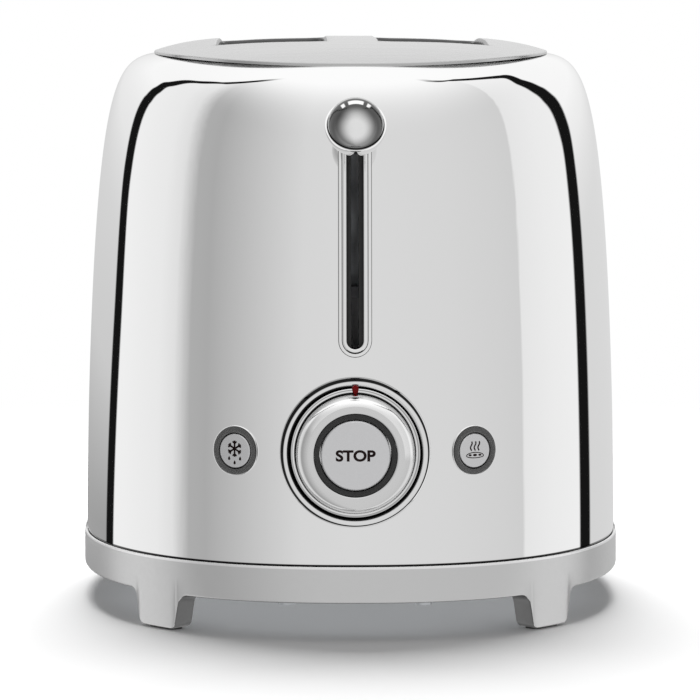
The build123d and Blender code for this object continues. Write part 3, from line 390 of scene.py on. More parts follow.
def band(paint, value, low, high, edge):  # 1 between low and high
    return paint.ease(value, low - edge, low + edge) * paint.ease(value, high - edge, high + edge, 1, 0)


def aboutAxis(paint, height):  # distance from a line along y at that height, and the turn round it
    across, _, up = placeIn(paint)
    rise = up - height
    return across.maths("SQRT", across * across + rise * rise), across.maths("ARCTAN2", across, rise)


def sleeveFootShade(paint):  # painted shade: the sleeve's foot is painted dark for the shadowed gap where it stands in the base
    return paint.ease(placeIn(paint)[2], *masks["sleeveFootShade"], 1, 0)


def baseShades(paint):  # undersides and the inner faces of the legs get no light
    across, _, up = placeIn(paint)
    facing = parts(paint, paint.node("ShaderNodeNewGeometry", output="Normal"))
    inward = (facing[0] * across) < masks["inward"]
    under = facing[2] < masks["facingDown"]
    return inward.above(under) * paint.ease(up, *masks["underBase"], 1, 0)


# painted highlight: the band's top edge and bevel, above these heights, are painted paler
def baseBevelHighlight(paint):
    return paint.ease(placeIn(paint)[2], *masks["baseBevelHighlight"])


def slotWallShade(paint):  # painted shade on the walls of the toast slots, below their rolled edge
    across, along, _ = placeIn(paint)
    wide = (across.size() - plate["slotAcross"]).size() < plate["slotWidth"] / 2 + masks["slotMargin"]
    return wide * (along.size() < plate["slotLength"] / 2 + masks["slotMargin"])


def ballShades(paint):  # painted reflection: dark towards its edge from a bright middle, with painted glints along an arc and a paler rim
    fromMiddle, _ = aboutAxis(paint, lever["ball"][2] + masks["ballMiddle"])
    radius, turn = aboutAxis(paint, lever["ball"][2])
    turn = turn.size()
    arc = band(paint, radius, *masks["ballArc"])
    glints = paint.ease(turn, *masks["topGlint"], 1, 0).above(band(paint, turn, *masks["sideGlint"]))
    rim = paint.ease(radius, *masks["ballRim"]) * masks["ballRimShare"]
    return paint.ease(fromMiddle, *masks["ballDark"]) - (arc * glints).above(rim)


def crownShades(paint):  # painted highlight: all of the crown is painted darker but a crescent over its top, which stays bright
    radius, turn = aboutAxis(paint, dial["height"])
    return 1 - band(paint, radius, *masks["crescent"]) * band(paint, turn, *masks["crescentTurn"])


def ringShades(rings):  # painted reflections and shade as rings about the dial's axis: radius, half width, how much it varies, its widest side
    def mask(paint):
        radius, turn = aboutAxis(paint, dial["height"])
        total = None
        for middle, half, swing, toward in rings:
            lean = turn.maths("COSINE", turn - radians(toward))
            reach = half * (1 + swing * lean)
            ring = paint.ease((radius - middle).size() / reach, *masks["ringEdge"], 1, 0)
            total = ring if total is None else total.above(ring)
        return total
    return mask


# Meshes. Points are in millimetres
weld = {"merge": 1e-7, "collapse": 1e-8}  # metres
bevelShoulder = 0.3  # how much of a prism's bevel lies above its middle row


def makeObject(name, points, faces, finish, sharp=35, dark=()):  # dark: numbers of the faces painted near black, for painted shade and dark reflections
    mesh = bpy.data.meshes.new(name)
    mesh.from_pydata([[value * mm for value in point] for point in points], [], faces)
    for number in dark:
        mesh.polygons[number].material_index = 1
    tidy = bmesh.new()
    tidy.from_mesh(mesh)
    bmesh.ops.remove_doubles(tidy, verts=tidy.verts, dist=weld["merge"])
    bmesh.ops.dissolve_degenerate(tidy, edges=tidy.edges, dist=weld["collapse"])
    bmesh.ops.recalc_face_normals(tidy, faces=tidy.faces)
    tidy.to_mesh(mesh)
    tidy.free()
    mesh.shade_smooth()
    mesh.set_sharp_from_angle(angle=radians(sharp))
    mesh.materials.append(finishes[finish])
    if dark:
        mesh.materials.append(finishes["groove"])
    return addObject(name, mesh)


def fit(thing, carrier, slotName, *nodes):
    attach(thing, carrier)
    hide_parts(*nodes)


def gridFaces(rows, columns, closedRows=False):  # columns always close to a ring
    return [
        (
            row * columns + column,
            row * columns + (column + 1) % columns,
            (row + 1) % rows * columns + (column + 1) % columns,
            (row + 1) % rows * columns + column,
        )
        for row in range(rows if closedRows else rows - 1)
        for column in range(columns)
    ]


def carve(thing, *cutters):
    for cutter in cutters:
        cut = thing.modifiers.new("cut", "BOOLEAN")
        cut.solver = "EXACT"
        cut.object = cutter
    graph = bpy.context.evaluated_depsgraph_get()
    mesh = bpy.data.meshes.new_from_object(thing.evaluated_get(graph))
    thing.modifiers.clear()
    thing.data = mesh
    for cutter in cutters:
        bpy.data.objects.remove(cutter)


def roundedPath(corners, steps):  # closed outline of (x, y, corner radius)
    path = []
    for index, (x, y, radius) in enumerate(corners):
        corner = Vector((x, y))
        before = (Vector(corners[index - 1][:2]) - corner).normalized()
        after = (Vector(corners[(index + 1) % len(corners)][:2]) - corner).normalized()
        if radius == 0:
            path.append((x, y))
            continue
        half = before.angle(after) / 2
        middle = corner + (before + after).normalized() * radius / sin(half)
        start = corner + before * radius / tan(half) - middle
        end = corner + after * radius / tan(half) - middle
        first = atan2(start.y, start.x)
        turn = (atan2(end.y, end.x) - first + pi) % (2 * pi) - pi
        for step in range(steps + 1):
            angle = first + turn * step / steps
            path.append((middle.x + radius * cos(angle), middle.y + radius * sin(angle)))
    return path


def turnsOf(count):  # the angles of a full turn in equal steps
    return [2 * pi * step / count for step in range(count)]


def circle(radius, middle=(0, 0), steps=64):
    return [(middle[0] + radius * cos(turn), middle[1] + radius * sin(turn)) for turn in turnsOf(steps)]


def roundedBox(halfX, halfY, corner, steps):
    signs = ((1, -1), (1, 1), (-1, 1), (-1, -1))
    return roundedPath([(x * halfX, y * halfY, corner) for x, y in signs], steps)


def spaced(path, gap):  # the path with points added where two lie further apart
    points = []
    for (x, y), (nextX, nextY) in zip(path, path[1:]):
        pieces = max(1, round(hypot(nextX - x, nextY - y) / gap))
        for step in range(pieces):
            points.append((x + (nextX - x) * step / pieces, y + (nextY - y) * step / pieces))
    return points + [path[-1]]


def narrow(low, high, tooLow, rounds):  # the span halved so many times about the place sought
    for _ in range(rounds):
        middle = (low + high) / 2
        if tooLow(middle):
            low = middle
        else:
            high = middle
    return low, high


class Axle:  # a line in space with two directions square to it
    def __init__(self, origin, out, up=(0, 0, 1)):
        self.origin = Vector(origin)
        self.out = Vector(out).normalized()
        self.side = Vector(up).cross(self.out).normalized()
        self.up = self.out.cross(self.side)

    def point(self, forward, across, rise):
        return self.origin + self.out * forward + self.side * across + self.up * rise


def turned(name, axle, profile, finish, steps, sharp=35):  # profile of (forward, radius), closed
    turns = turnsOf(steps)
    points = [
        axle.point(forward, radius * sin(turn), radius * cos(turn))
        for forward, radius in profile
        for turn in turns
    ]
    return makeObject(name, points, gridFaces(len(profile), steps, closedRows=True), finish, sharp)


def prism(name, axle, outline, low, high, finish, edge=0.0):  # outline of (across, rise)
    middle = sum((Vector(point) for point in outline), Vector((0, 0))) / len(outline)
    layers = [(low, 1.0), (high, 1.0)]
    if edge:
        reach = max((Vector(point) - middle).length for point in outline)
        shoulder = edge * bevelShoulder
        layers[1:] = [(high - edge, 1.0), (high - shoulder, 1 - shoulder / reach), (high, 1 - edge / reach)]
    points = [
        axle.point(level, *(middle + (Vector(point) - middle) * share))
        for level, share in layers
        for point in outline
    ]
    count = len(outline)
    faces = gridFaces(len(layers), count)
    faces.append(tuple(range(count)))
    faces.append(tuple(range((len(layers) - 1) * count, len(layers) * count)))
    return makeObject(name, points, faces, finish)


# Body form, shared by the sleeve and by all that is fitted to its wall
body = {
    "halfWidth": 95.5,
    "halfLength": 143.2,
    "bottom": 24.4,
    "rise": 171.75,
    "planPower": 2.3,
    "leanPower": 1.585,
    "shoulderPower": 17.6,
    "wall": 1.2,
    "crownShare": 0.69,
    "samples": 6000,
    "rows": 96,
    "columns": 288,
    "slotGap": 0.6,  # how much wider the holes are than what is set in them
    "dialGap": 1,
    "buttonGap": 0.2,
    "cutReach": (110, 160),
    "buttonReach": (-12, 8),
    "outerFrom": 0.8,
}


def climbOf(height):  # share of the sleeve's height
    return min(max((height - body["bottom"]) / body["rise"], 0), 1)


def planShare(height):
    return (1 - climbOf(height) ** body["leanPower"]) ** (1 / body["shoulderPower"])


def levelOf(share):
    return body["bottom"] + body["rise"] * (1 - share ** body["shoulderPower"]) ** (1 / body["leanPower"])


def ovalPoint(halfX, halfY, power, turn):
    across, along = cos(turn), sin(turn)
    reach = (abs(across) ** power + abs(along) ** power) ** (-1 / power)
    return halfX * across * reach, halfY * along * reach


def frontWall(x, height):  # y of the sleeve's front
    share = planShare(height)
    reach = abs(x) / (body["halfWidth"] * share)
    return -body["halfLength"] * share * (1 - reach ** body["planPower"]) ** (1 / body["planPower"])


def wallNormal(x, y, height):
    power = body["planPower"]
    share = max(planShare(height), 0.05)
    fall = body["leanPower"] * climbOf(height) ** (body["leanPower"] - 1)
    fall = fall / body["shoulderPower"] / body["rise"] * share ** (1 - body["shoulderPower"])
    gradient = Vector((
        abs(x) ** (power - 1) / body["halfWidth"] ** power * (1 if x > 0 else -1),
        abs(y) ** (power - 1) / body["halfLength"] ** power * (1 if y > 0 else -1),
        share ** (power - 1) * fall,
    ))
    return gradient.normalized()


def onWall(x, height, proud):
    y = frontWall(x, height)
    return Vector((x, y, height)) + wallNormal(x, y, height) * proud


slotTrim = {
    "width": 5.5,
    "length": 79.9,
    "middle": 138.05,
    # rows painted near black: painted shade and painted dark reflections in the trim's grooves and edges
    "darkRows": (0, 1, 4, 10, 11, 12),
    "profile": (
        (2.9, -1.0), (2.9, 0.3), (2.72, 0.52), (2.4, 0.6), (1.72, 0.58), (1.5, 0.62), (1.34, 0.84),
        (1.1, 1.06), (0.8, 1.1), (0.4, 1.08), (0.12, 0.9), (0.0, 0.55), (0.0, -5.0), (0.5, -5.0), (0.5, -1.0),
    ),
}
front = Axle((0, 0, 0), (0, -1, 0))


def capsule(margin, straight=26, curve=14):  # the lever slot grown by a margin, as (across, height)
    radius = slotTrim["width"] / 2 + margin
    half = slotTrim["length"] / 2 - slotTrim["width"] / 2
    middle = slotTrim["middle"]
    path = []
    for end in (1, -1):
        for step in range(curve + 1):
            turn = pi * step / curve
            path.append((end * radius * cos(turn), middle + end * (half + radius * sin(turn))))
        for step in range(1, straight):
            path.append((-end * radius, middle + end * half * (1 - 2 * step / straight)))
    return path


def makeSleeve():
    count, columns = body["samples"], body["columns"]
    dense = [1 - (1 - body["crownShare"]) * (step / count) ** 3 for step in range(count + 1)]
    line = [Vector((share * body["halfWidth"], levelOf(share))) for share in dense]
    run = [0.0]
    for before, after in zip(line, line[1:]):
        run.append(run[-1] + (after - before).length)
    rows, index = [], 0
    for row in range(body["rows"]):
        goal = run[-1] * row / (body["rows"] - 1)
        while index < len(run) - 2 and run[index + 1] < goal:
            index += 1
        part = (goal - run[index]) / (run[index + 1] - run[index])
        share = dense[index] + (dense[index + 1] - dense[index]) * part
        rows.append((share, levelOf(share)))
    outside = []
    for share, height in rows:
        for column in range(columns):
            x, y = ovalPoint(1, 1, body["planPower"], 2 * pi * (column + 0.5) / columns)
            outside.append(Vector((x * body["halfWidth"] * share, y * body["halfLength"] * share, height)))
    inside = [point - wallNormal(*point) * body["wall"] for point in outside]
    points = list(outside)
    for row in reversed(range(len(rows))):
        points += inside[row * columns:(row + 1) * columns]
    faces = gridFaces(2 * len(rows), columns, closedRows=True)
    sleeve = makeObject("body_sleeve", points, faces, "sleeve_chrome", sharp=60)
    slotLine = [(-x, z) for x, z in capsule(body["slotGap"], straight=8)]
    slotCut = prism("slotCut", front, slotLine, *body["cutReach"], "sleeve_chrome")
    dialLine = circle(dial["bezelBore"] + body["dialGap"], (0, dial["height"]), 96)
    dialCut = prism("dialCut", front, dialLine, *body["cutReach"], "sleeve_chrome")
    buttonLine = circle(buttons["barrel"] + body["buttonGap"])
    holes = [
        prism("buttonCut", buttonAxle(side), buttonLine, *body["buttonReach"], "sleeve_chrome")
        for side in (-1, 1)
    ]
    carve(sleeve, slotCut, dialCut, *holes)
    mesh = sleeve.data
    normals = []
    for face in mesh.polygons:
        for loop in face.loop_indices:
            outer = wallNormal(*mesh.vertices[mesh.loops[loop].vertex_index].co / mm)
            isOuter = face.normal.dot(outer) > body["outerFrom"]
            normals.append(outer if isOuter else face.normal.copy())
    mesh.shade_smooth()
    mesh.normals_split_custom_set(normals)
    fit(sleeve, "housing", "sleeve_chrome", "body_shell")


# Top plate: a thin dome with two slots whose edges roll down
plate = {
    "halfWidth": 70.7,
    "halfLength": 118.0,
    "outlinePower": 2.6,
    "crown": 201.45,
    "sideDrop": 4.95,
    "endDrop": 8.05,
    "sideRoll": 5.0,
    "endRoll": 3.8,
    "levelPower": 2.8,
    "deepest": 14.0,
    "edge": 0.5,
    "edgeTurns": (0.4, 0.9, pi / 2),
    "skirt": ((0, 1.2), (1.5, 1.2)),
    "rimSteps": 200,
    "rimClear": 1.6,
    "rimSlack": 0.02,
    "slotAcross": 28.2,
    "slotWidth": 37.5,
    "slotLength": 138.0,
    "slotCorner": 6.0,
    "slotRoll": 1.3,
    "slotClear": 0.8,
    "slotSlack": 0.6,
    "lip": ((0, 7.7), (0.3, 8.0), (0.9, 8.0), (1.2, 7.7), (1.2, 2.4)),
    "spacing": 2.2,
}


def plateHeight(x, y):
    power = plate["levelPower"]

    def isHigher(drop):
        halfX = plate["halfWidth"] * (drop / plate["sideDrop"]) ** (1 / plate["sideRoll"])
        halfY = plate["halfLength"] * (drop / plate["endDrop"]) ** (1 / plate["endRoll"])
        return (abs(x) / halfX) ** power + (abs(y) / halfY) ** power > 1

    return plate["crown"] - narrow(0.0, plate["deepest"], isHigher, 34)[1]


def slotOutline(side, margin):
    halfX, halfY = plate["slotWidth"] / 2 + margin, plate["slotLength"] / 2 + margin
    rough = roundedBox(halfX, halfY, plate["slotCorner"] + margin, 6)
    return [(side * plate["slotAcross"] + x, y) for x, y in spaced(rough + rough[:1], 6)[:-1]]


def rimOutline(inset):
    halfX, halfY = plate["halfWidth"] - inset, plate["halfLength"] - inset
    return [ovalPoint(halfX, halfY, plate["outlinePower"], turn) for turn in turnsOf(plate["rimSteps"])]


def inSlot(x, y, margin):
    inside = abs(abs(x) - plate["slotAcross"]) < plate["slotWidth"] / 2 + margin
    return inside and abs(y) < plate["slotLength"] / 2 + margin


def inPlate(x, y, inset):
    acrossShare, alongShare = abs(x) / (plate["halfWidth"] - inset), abs(y) / (plate["halfLength"] - inset)
    return acrossShare ** plate["outlinePower"] + alongShare ** plate["outlinePower"] < 1


def makePlate():
    inset, roll, spacing = plate["edge"], plate["slotRoll"], plate["spacing"]
    rim = rimOutline(inset)
    loops = [rim] + [slotOutline(side, roll) for side in (-1, 1)]
    flat = [Vector(point) for loop in loops for point in loop]
    edges, start = [], 0
    for loop in loops:
        edges += [(start + step, start + (step + 1) % len(loop)) for step in range(len(loop))]
        start += len(loop)
    acrossCount, alongCount = int(plate["halfWidth"] / spacing), int(plate["halfLength"] / spacing)
    for column in range(-acrossCount, acrossCount + 1):
        for row in range(-alongCount, alongCount + 1):
            x, y = column * spacing, row * spacing
            if inPlate(x, y, plate["rimClear"]) and not inSlot(x, y, roll + plate["slotClear"]):
                flat.append(Vector((x, y)))
    where, _, triangles = delaunay_2d_cdt(flat, edges, [], 0, 1e-6)[:3]
    points = [(x, y, plateHeight(x, y)) for x, y in where]
    faces = []
    for triangle in triangles:
        x, y = (sum(where[corner][axis] for corner in triangle) / 3 for axis in (0, 1))
        if inPlate(x, y, inset - plate["rimSlack"]) and not inSlot(x, y, roll - plate["slotSlack"]):
            faces.append(tuple(triangle))
    rows = [(inset * (1 - sin(turn)), inset * (1 - cos(turn))) for turn in plate["edgeTurns"]]
    rows += plate["skirt"]
    addSkirt(points, faces, rim, [(place, fall) for margin, fall in rows for place in rimOutline(margin)])
    rows = [(roll * (1 - sin(pi * step / 10)), roll * (1 - cos(pi * step / 10))) for step in range(1, 6)]
    rows += plate["lip"]
    for side in (-1, 1):
        lip = [(place, fall) for margin, fall in rows for place in slotOutline(side, margin)]
        addSkirt(points, faces, slotOutline(side, roll), lip)
    thing = makeObject("top_plate_brushed", points, faces, "plate_steel", sharp=50)
    fit(thing, "housing", "plate_steel", "top_plate")


def addSkirt(points, faces, first, below):  # rings of points hung from an outline of the sheet
    heights, count = [plateHeight(*place) for place in first], len(first)
    rows = [(*place, height) for place, height in zip(first, heights)]
    for index, (place, fall) in enumerate(below):
        rows.append((*place, heights[index % count] - fall))
    start = len(points)
    points += rows
    faces += [tuple(start + corner for corner in face) for face in gridFaces(len(rows) // count, count)]


# Base: a band round the foot of the sleeve and four legs, as one casting
base = {
    "halfWidth": 96.4,
    "halfLength": 144.1,
    "top": 24.9,
    "bottom": 12.5,
    "footLevel": 0.6,
    "legAcross": 68.0,
    "footHalf": 10.0,
    "rootHalf": 12.75,
    "rootFillet": 4.5,
    "footFillet": 2.6,
    "legDepth": 9.0,
    "legReach": 30,
    "legSpan": 0.4,
    "upper": (
        (4.0, -0.6), (0.6, -0.6), (0.6, -0.2), (0.5, -0.04), (0.32, 0), (0.14, -0.08), (0.03, -0.3),
        (0, -0.6), (0, -6),
    ),
    "lower": ((0, 0.9), (0.08, 0.5), (0.32, 0.16), (0.8, 0), (8.4, 0), (8.9, 0.3), (9.0, 0.8)),
    "back": ((9.0, 14.0), (4.0, 14.0)),
    "sharp": 38,
    "pad": (7, 2.75, 2),
    "padEdge": 0.2,
    "window": ((-50.0, 50.0), (110.0, 150.0), (15.6, 21.9)),
}
legs = ((-1, -1), (1, -1), (-1, 1), (1, 1))  # (side, end)


def basePoint(turn, inset=0.0):
    return Vector(ovalPoint(base["halfWidth"] - inset, base["halfLength"] - inset, body["planPower"], turn))


def legFrame(side, end):  # middle of the leg on the outline, outward direction, direction round the outline
    power = body["planPower"]
    reach = base["legAcross"] / base["halfWidth"]
    along = base["halfLength"] * (1 - reach**power) ** (1 / power)
    slopeY = (along / base["halfLength"]) ** (power - 1) / base["halfLength"]
    slopeX = reach ** (power - 1) / base["halfWidth"]
    turn = atan2(slopeY, slopeX)
    away = Vector((side * cos(turn), end * sin(turn)))
    return Vector((side * base["legAcross"], end * along)), away, Vector((-away.y, away.x))


def onLeg(turn, side, end):
    middle, away, tangent = legFrame(side, end)
    gap = basePoint(turn) - middle
    isBeside = abs(gap.dot(tangent)) < base["rootHalf"] + base["rootFillet"]
    return isBeside and gap.dot(away) > -base["legReach"]


def baseColumns():  # (turn, lower edge) all round the outline
    corners = [
        (base["legReach"], base["bottom"], 0),
        (base["rootHalf"], base["bottom"], base["rootFillet"]),
        (base["footHalf"], base["footLevel"], base["footFillet"]),
    ]
    corners += [(-offset, level, radius) for offset, level, radius in reversed(corners)]
    edge = spaced([(-offset, level) for offset, level in roundedPath(corners, 8)[1:-1]], 2)
    columns = []
    for side, end in legs:
        middle, _, tangent = legFrame(side, end)
        guess = atan2(middle.y / base["halfLength"], middle.x / base["halfWidth"])
        for offset, level in edge:
            def isBefore(turn):
                return (basePoint(turn) - middle).dot(tangent) < offset

            low, high = narrow(guess - base["legSpan"], guess + base["legSpan"], isBefore, 40)
            columns.append(((low + high) / 2 % (2 * pi), level))
    for turn in turnsOf(360):
        if not any(onLeg(turn, *leg) for leg in legs):
            columns.append((turn, base["bottom"]))
    return sorted(columns)


def makeBase():
    points, columns = [], baseColumns()
    for turn, low in columns:
        ring = [(inset, base["top"] + rise) for inset, rise in base["upper"]]
        ring += [(inset, low + rise) for inset, rise in base["lower"]]
        ring += base["back"]
        points += [(*basePoint(turn, inset), level) for inset, level in ring]
    faces = gridFaces(len(columns), len(ring), closedRows=True)
    skirt = makeObject("base_casting", points, faces, "base_silver", base["sharp"])
    (left, right), (near, far), (low, high) = base["window"]
    outline = [(-right, low), (-left, low), (-left, high), (-right, high)]
    window = prism("trayWindow", front, outline, -far, -near, "base_silver")
    carve(skirt, window)
    skirt.data.set_sharp_from_angle(angle=radians(base["sharp"]))
    fit(skirt, "housing", "base_silver", "base_skirt")
    for side, end in legs:
        middle, away, _ = legFrame(side, end)
        centre = middle - away * base["legDepth"] / 2
        axle = Axle((*centre, base["footLevel"]), (0, 0, -1), (*away, 0))
        outline = roundedBox(*base["pad"], 5)
        name = "foot_pad_" + ("front" if end < 0 else "rear") + ("_left" if side < 0 else "_right")
        pad = prism(name, axle, outline, 0, base["footLevel"], "pad_rubber", edge=base["padEdge"])
        fit(pad, "housing", "pad_rubber", "foot_pads")


# Lever: trim round its slot, the ball and the cup that holds it
lever = {
    "ball": (0, -154.0, 173.45),
    "ballRadius": 9.33,
    "cupRadius": 10.3,
    "cupInside": 9.45,
    "tilt": 34,
    "cupLip": (0.12, 0.2),
    "notch": ((-2.1, 162.4), (2.1, 162.4), (0.25, 164.7), (-0.25, 164.7)),
    "notchReach": (148, 166),
}


def makeSlotTrim():
    points = []
    rows = slotTrim["profile"]
    for margin, proud in rows:
        points += [onWall(x, height, proud) for x, height in capsule(margin)]
    count = len(points) // len(rows)
    dark = [row * count + step for row in slotTrim["darkRows"] for step in range(count)]
    faces = gridFaces(len(rows), count, closedRows=True)
    trim = makeObject("lever_slot_trim", points, faces, "trim_chrome", 40, dark)
    fit(trim, "housing", "trim_chrome", "slot_bezel")


def makeLever():
    tilt = radians(lever["tilt"])
    axle = Axle(lever["ball"], (0, -cos(tilt), sin(tilt)))
    radius = lever["ballRadius"]
    arc = [(radius * cos(pi * step / 48), radius * sin(pi * step / 48)) for step in range(49)]
    ball = turned("lever_ball", axle, arc, "ball_steel", steps=96, sharp=180)
    fit(ball, "carriage", "trim_chrome", "lever_knob")
    outer, inner = lever["cupRadius"], lever["cupInside"]
    profile = [(-outer * sin(pi * step / 60), outer * cos(pi * step / 60)) for step in range(1, 31)]
    profile += [(-inner * sin(pi * step / 60), inner * cos(pi * step / 60)) for step in range(30, 0, -1)]
    side, middle = lever["cupLip"]
    profile += [(side, inner + side), (middle, (inner + outer) / 2), (side, outer - side)]
    cup = turned("lever_cup_shell", axle, profile, "trim_chrome", steps=96, sharp=50)
    notch = [(-x, z) for x, z in lever["notch"]]
    carve(cup, prism("notch", front, notch, *lever["notchReach"], "trim_chrome"))
    cup.data.set_sharp_from_angle(angle=radians(50))
    fit(cup, "carriage", "trim_chrome", "lever_cup")


def turnedFit(name, axle, profile, rounding, finish, steps, carrier, slotName, *nodes):
    fit(turned(name, axle, roundedPath(profile, rounding), finish, steps), carrier, slotName, *nodes)


# Browning dial round the stop button
dial = {
    "height": 63.5,
    "bezelBore": 22.2,
    "bezel": (
        (139.0, 22.25, 0), (145.3, 22.25, 0.6), (146.0, 23.1, 0.5), (145.75, 24.3, 0.9), (144.5, 25.3, 0.6),
        (139.0, 25.3, 0),
    ),
    # painted reflections and painted shade on the bezel: a dark band where dark flags would reflect, and dark
    # lines in the gaps at its edges
    "bezelLines": ((24.62, 0.46, 0.5, -35), (25.34, 0.1, 0, 0), (22.3, 0.14, 0.6, -140)),
    "carrier": (
        (137.0, 6.2, 0), (146.9, 6.2, 0), (146.9, 19.85, 0), (145.5, 19.85, 0.1), (145.5, 20.2, 0.1),
        (146.35, 20.35, 0.3), (146.35, 21.7, 0.4), (144.0, 21.88, 0.4), (137.0, 21.88, 0), (137.0, 20.7, 0),
        (144.5, 20.7, 0), (144.5, 8.5, 0), (137.0, 8.5, 0),
    ),
    # painted shade in the ledge's gap and groove, and a painted grey band of reflection
    "ledgeLines": ((21.85, 0.26, 0.6, -140), (20.05, 0.22, 0.3, -40)),
    "ledgeShade": ((21.2, 0.24, 0.3, 100),),
    "crownBack": 147.0,
    "crownFront": 155.0,
    "crownRim": 149.0,
    "crownRadius": 19.9,
    "crownLip": 14.7,
    "crownPower": 0.9,
    "boreEdge": ((154.9, 14.2), (154.6, 13.9)),
    "boreRadius": 13.9,
    "ring": (
        (147.1, 12.05, 0), (154.55, 12.05, 0.2), (154.7, 12.9, 0.2), (154.55, 13.82, 0.2), (147.1, 13.82, 0),
    ),
    "cap": ((149.5, 0.0, 0), (155.3, 0.0, 0), (155.22, 11.2, 0.2), (154.7, 11.7, 0.3), (149.5, 11.7, 0.2)),
    "stem": ((111.8, 0.0, 0), (149.5, 0.0, 0), (149.5, 3.5, 0), (111.8, 3.5, 0.4)),
    "pointerMiddle": 21.45,
    "pointerHalf": (1.12, 1.55),
    "pointerTaper": 0.12,
    "pointerReach": (146.12, 147.2),
    "pointerEdge": 0.35,
    "word": "STOP",
    "wordWidth": 13.3,
    "wordHeight": 3.85,
    "wordLevel": 155.28,
    "wordDepth": 0.06,
    "wordOffset": 0.036,
}
dialAxle = Axle((0, 0, dial["height"]), (0, -1, 0))


def makeDial():
    ring, ledge, smoke, cap, stem = (dial[part] for part in ("bezel", "carrier", "ring", "cap", "stem"))
    node, nodes = "dial_bezel", ("dial_carrier", "dial_hub")
    turnedFit("dial_bezel_ring", dialAxle, ring, 8, "bezel_chrome", 160, "housing", "trim_chrome", node)
    turnedFit("dial_ledge", dialAxle, ledge, 6, "ledge_chrome", 160, "dial", "dial_metal", *nodes)
    back, deep = dial["crownBack"], dial["crownFront"] - dial["crownRim"]
    wide, power = dial["crownRadius"] - dial["crownLip"], dial["crownPower"]
    crown = [(back, dial["crownRadius"])]
    for step in range(20):
        turn = pi / 2 * step / 20
        forward = dial["crownRim"] + deep * sin(turn) ** power
        crown.append((forward, dial["crownLip"] + wide * cos(turn) ** power))
    crown += [(dial["crownFront"], dial["crownLip"]), *dial["boreEdge"], (back, dial["boreRadius"])]
    knob = turned("dial_crown", dialAxle, crown, "crown_metal", steps=160, sharp=45)
    fit(knob, "dial", "dial_metal", "dial_knob")
    turnedFit("dial_smoke_ring", dialAxle, smoke, 4, "smoke_ring", 128, "dial", "smoke_ring", "light_ring")
    (half, tall), drop = dial["pointerHalf"], []
    for turn in turnsOf(40):
        across = half * sin(turn) * (1 - dial["pointerTaper"] * cos(turn))
        drop.append((across, dial["pointerMiddle"] - tall * cos(turn)))
    edge = dial["pointerEdge"]
    pointer = prism("dial_drop", dialAxle, drop, *dial["pointerReach"], "pointer_red", edge=edge)
    fit(pointer, "dial", "pointer_red", "dial_pointer")
    button = "stop_button"
    turnedFit("stop_cap", dialAxle, cap, 4, "cap_metal", 128, button, "cap_metal", button)
    turnedFit("stop_stem", dialAxle, stem, 4, "black_plastic", 48, button, "cap_metal", button)


def writeStop():
    words = bpy.data.curves.new("word", "FONT")
    words.body = dial["word"]
    words.offset = dial["wordOffset"]
    words.extrude = 0.02
    words.align_x = "CENTER"
    words.align_y = "CENTER"
    holder = addObject("word", words)
    graph = bpy.context.evaluated_depsgraph_get()
    mesh = bpy.data.meshes.new_from_object(holder.evaluated_get(graph))
    bpy.data.objects.remove(holder)
    low = [min(point.co[axis] for point in mesh.vertices) for axis in range(3)]
    high = [max(point.co[axis] for point in mesh.vertices) for axis in range(3)]
    for point in mesh.vertices:
        across = ((point.co.x - low[0]) / (high[0] - low[0]) - 0.5) * dial["wordWidth"]
        rise = ((point.co.y - low[1]) / (high[1] - low[1]) - 0.5) * dial["wordHeight"]
        forward = dial["wordLevel"] + (point.co.z - low[2]) / (high[2] - low[2]) * dial["wordDepth"]
        point.co = dialAxle.point(forward, across, rise) * mm
    mesh.materials.clear()
    mesh.materials.append(finishes["mark"])
    thing = addObject("stop_word", mesh)
    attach(thing, "stop_button")


# Two round buttons in the wall
buttons = {
    "across": 40.3,
    "height": 63.2,
    "barrel": 7.0,
    "ring": (
        (-5.0, 6.15, 0), (0.35, 6.15, 0.25), (0.72, 6.75, 0.3), (0.62, 7.9, 0.5), (-0.2, 8.3, 0.3),
        (-2.6, 8.3, 0), (-2.6, 7.0, 0), (-5.0, 7.0, 0),
    ),
    "trim": ((-2.4, 8.2, 0), (0.2, 8.2, 0.12), (0.3, 8.42, 0.12), (0.0, 8.62, 0.12), (-2.4, 8.62, 0)),
    "cap": ((-4.0, 0.0, 0), (0.52, 0.0, 0), (0.5, 5.55, 0.2), (0.2, 5.85, 0.2), (-4.0, 5.85, 0)),
    "stem": ((-24.0, 0.0, 0), (-4.0, 0.0, 0), (-4.0, 2.5, 0), (-24.0, 2.5, 0.4)),
    "markLevel": 0.52,
    "markHalf": 0.03,
}


def buttonAxle(side):
    x, height = side * buttons["across"], buttons["height"]
    out = wallNormal(x, frontWall(x, height), height)
    return Axle((x, frontWall(x, height), height), (out.x, out.y, 0))


def stroke(path, width):  # outline of a line of that width through the points
    left, right = [], []
    for index, point in enumerate(path):
        before, after = path[max(index - 1, 0)], path[min(index + 1, len(path) - 1)]
        run = Vector((after[0] - before[0], after[1] - before[1])).normalized() * width / 2
        left.append((point[0] - run.y, point[1] + run.x))
        right.append((point[0] + run.y, point[1] - run.x))
    return left + right[::-1]


def dropOutline(x, y, size):
    return [(x + size * sin(turn) * sin(turn / 2), y + size * cos(turn) * 1.25) for turn in turnsOf(24)]


thaw = {
    "middle": 0.75,
    "arm": 2.75,
    "armWidth": 0.62,
    "fork": 1.7,
    "forkSize": 0.75,
    "forkWidth": 0.55,
    "drops": ((-2.1, -2.5), (2.1, -2.5), (0, -3.9)),
    "dropSize": 0.55,
}


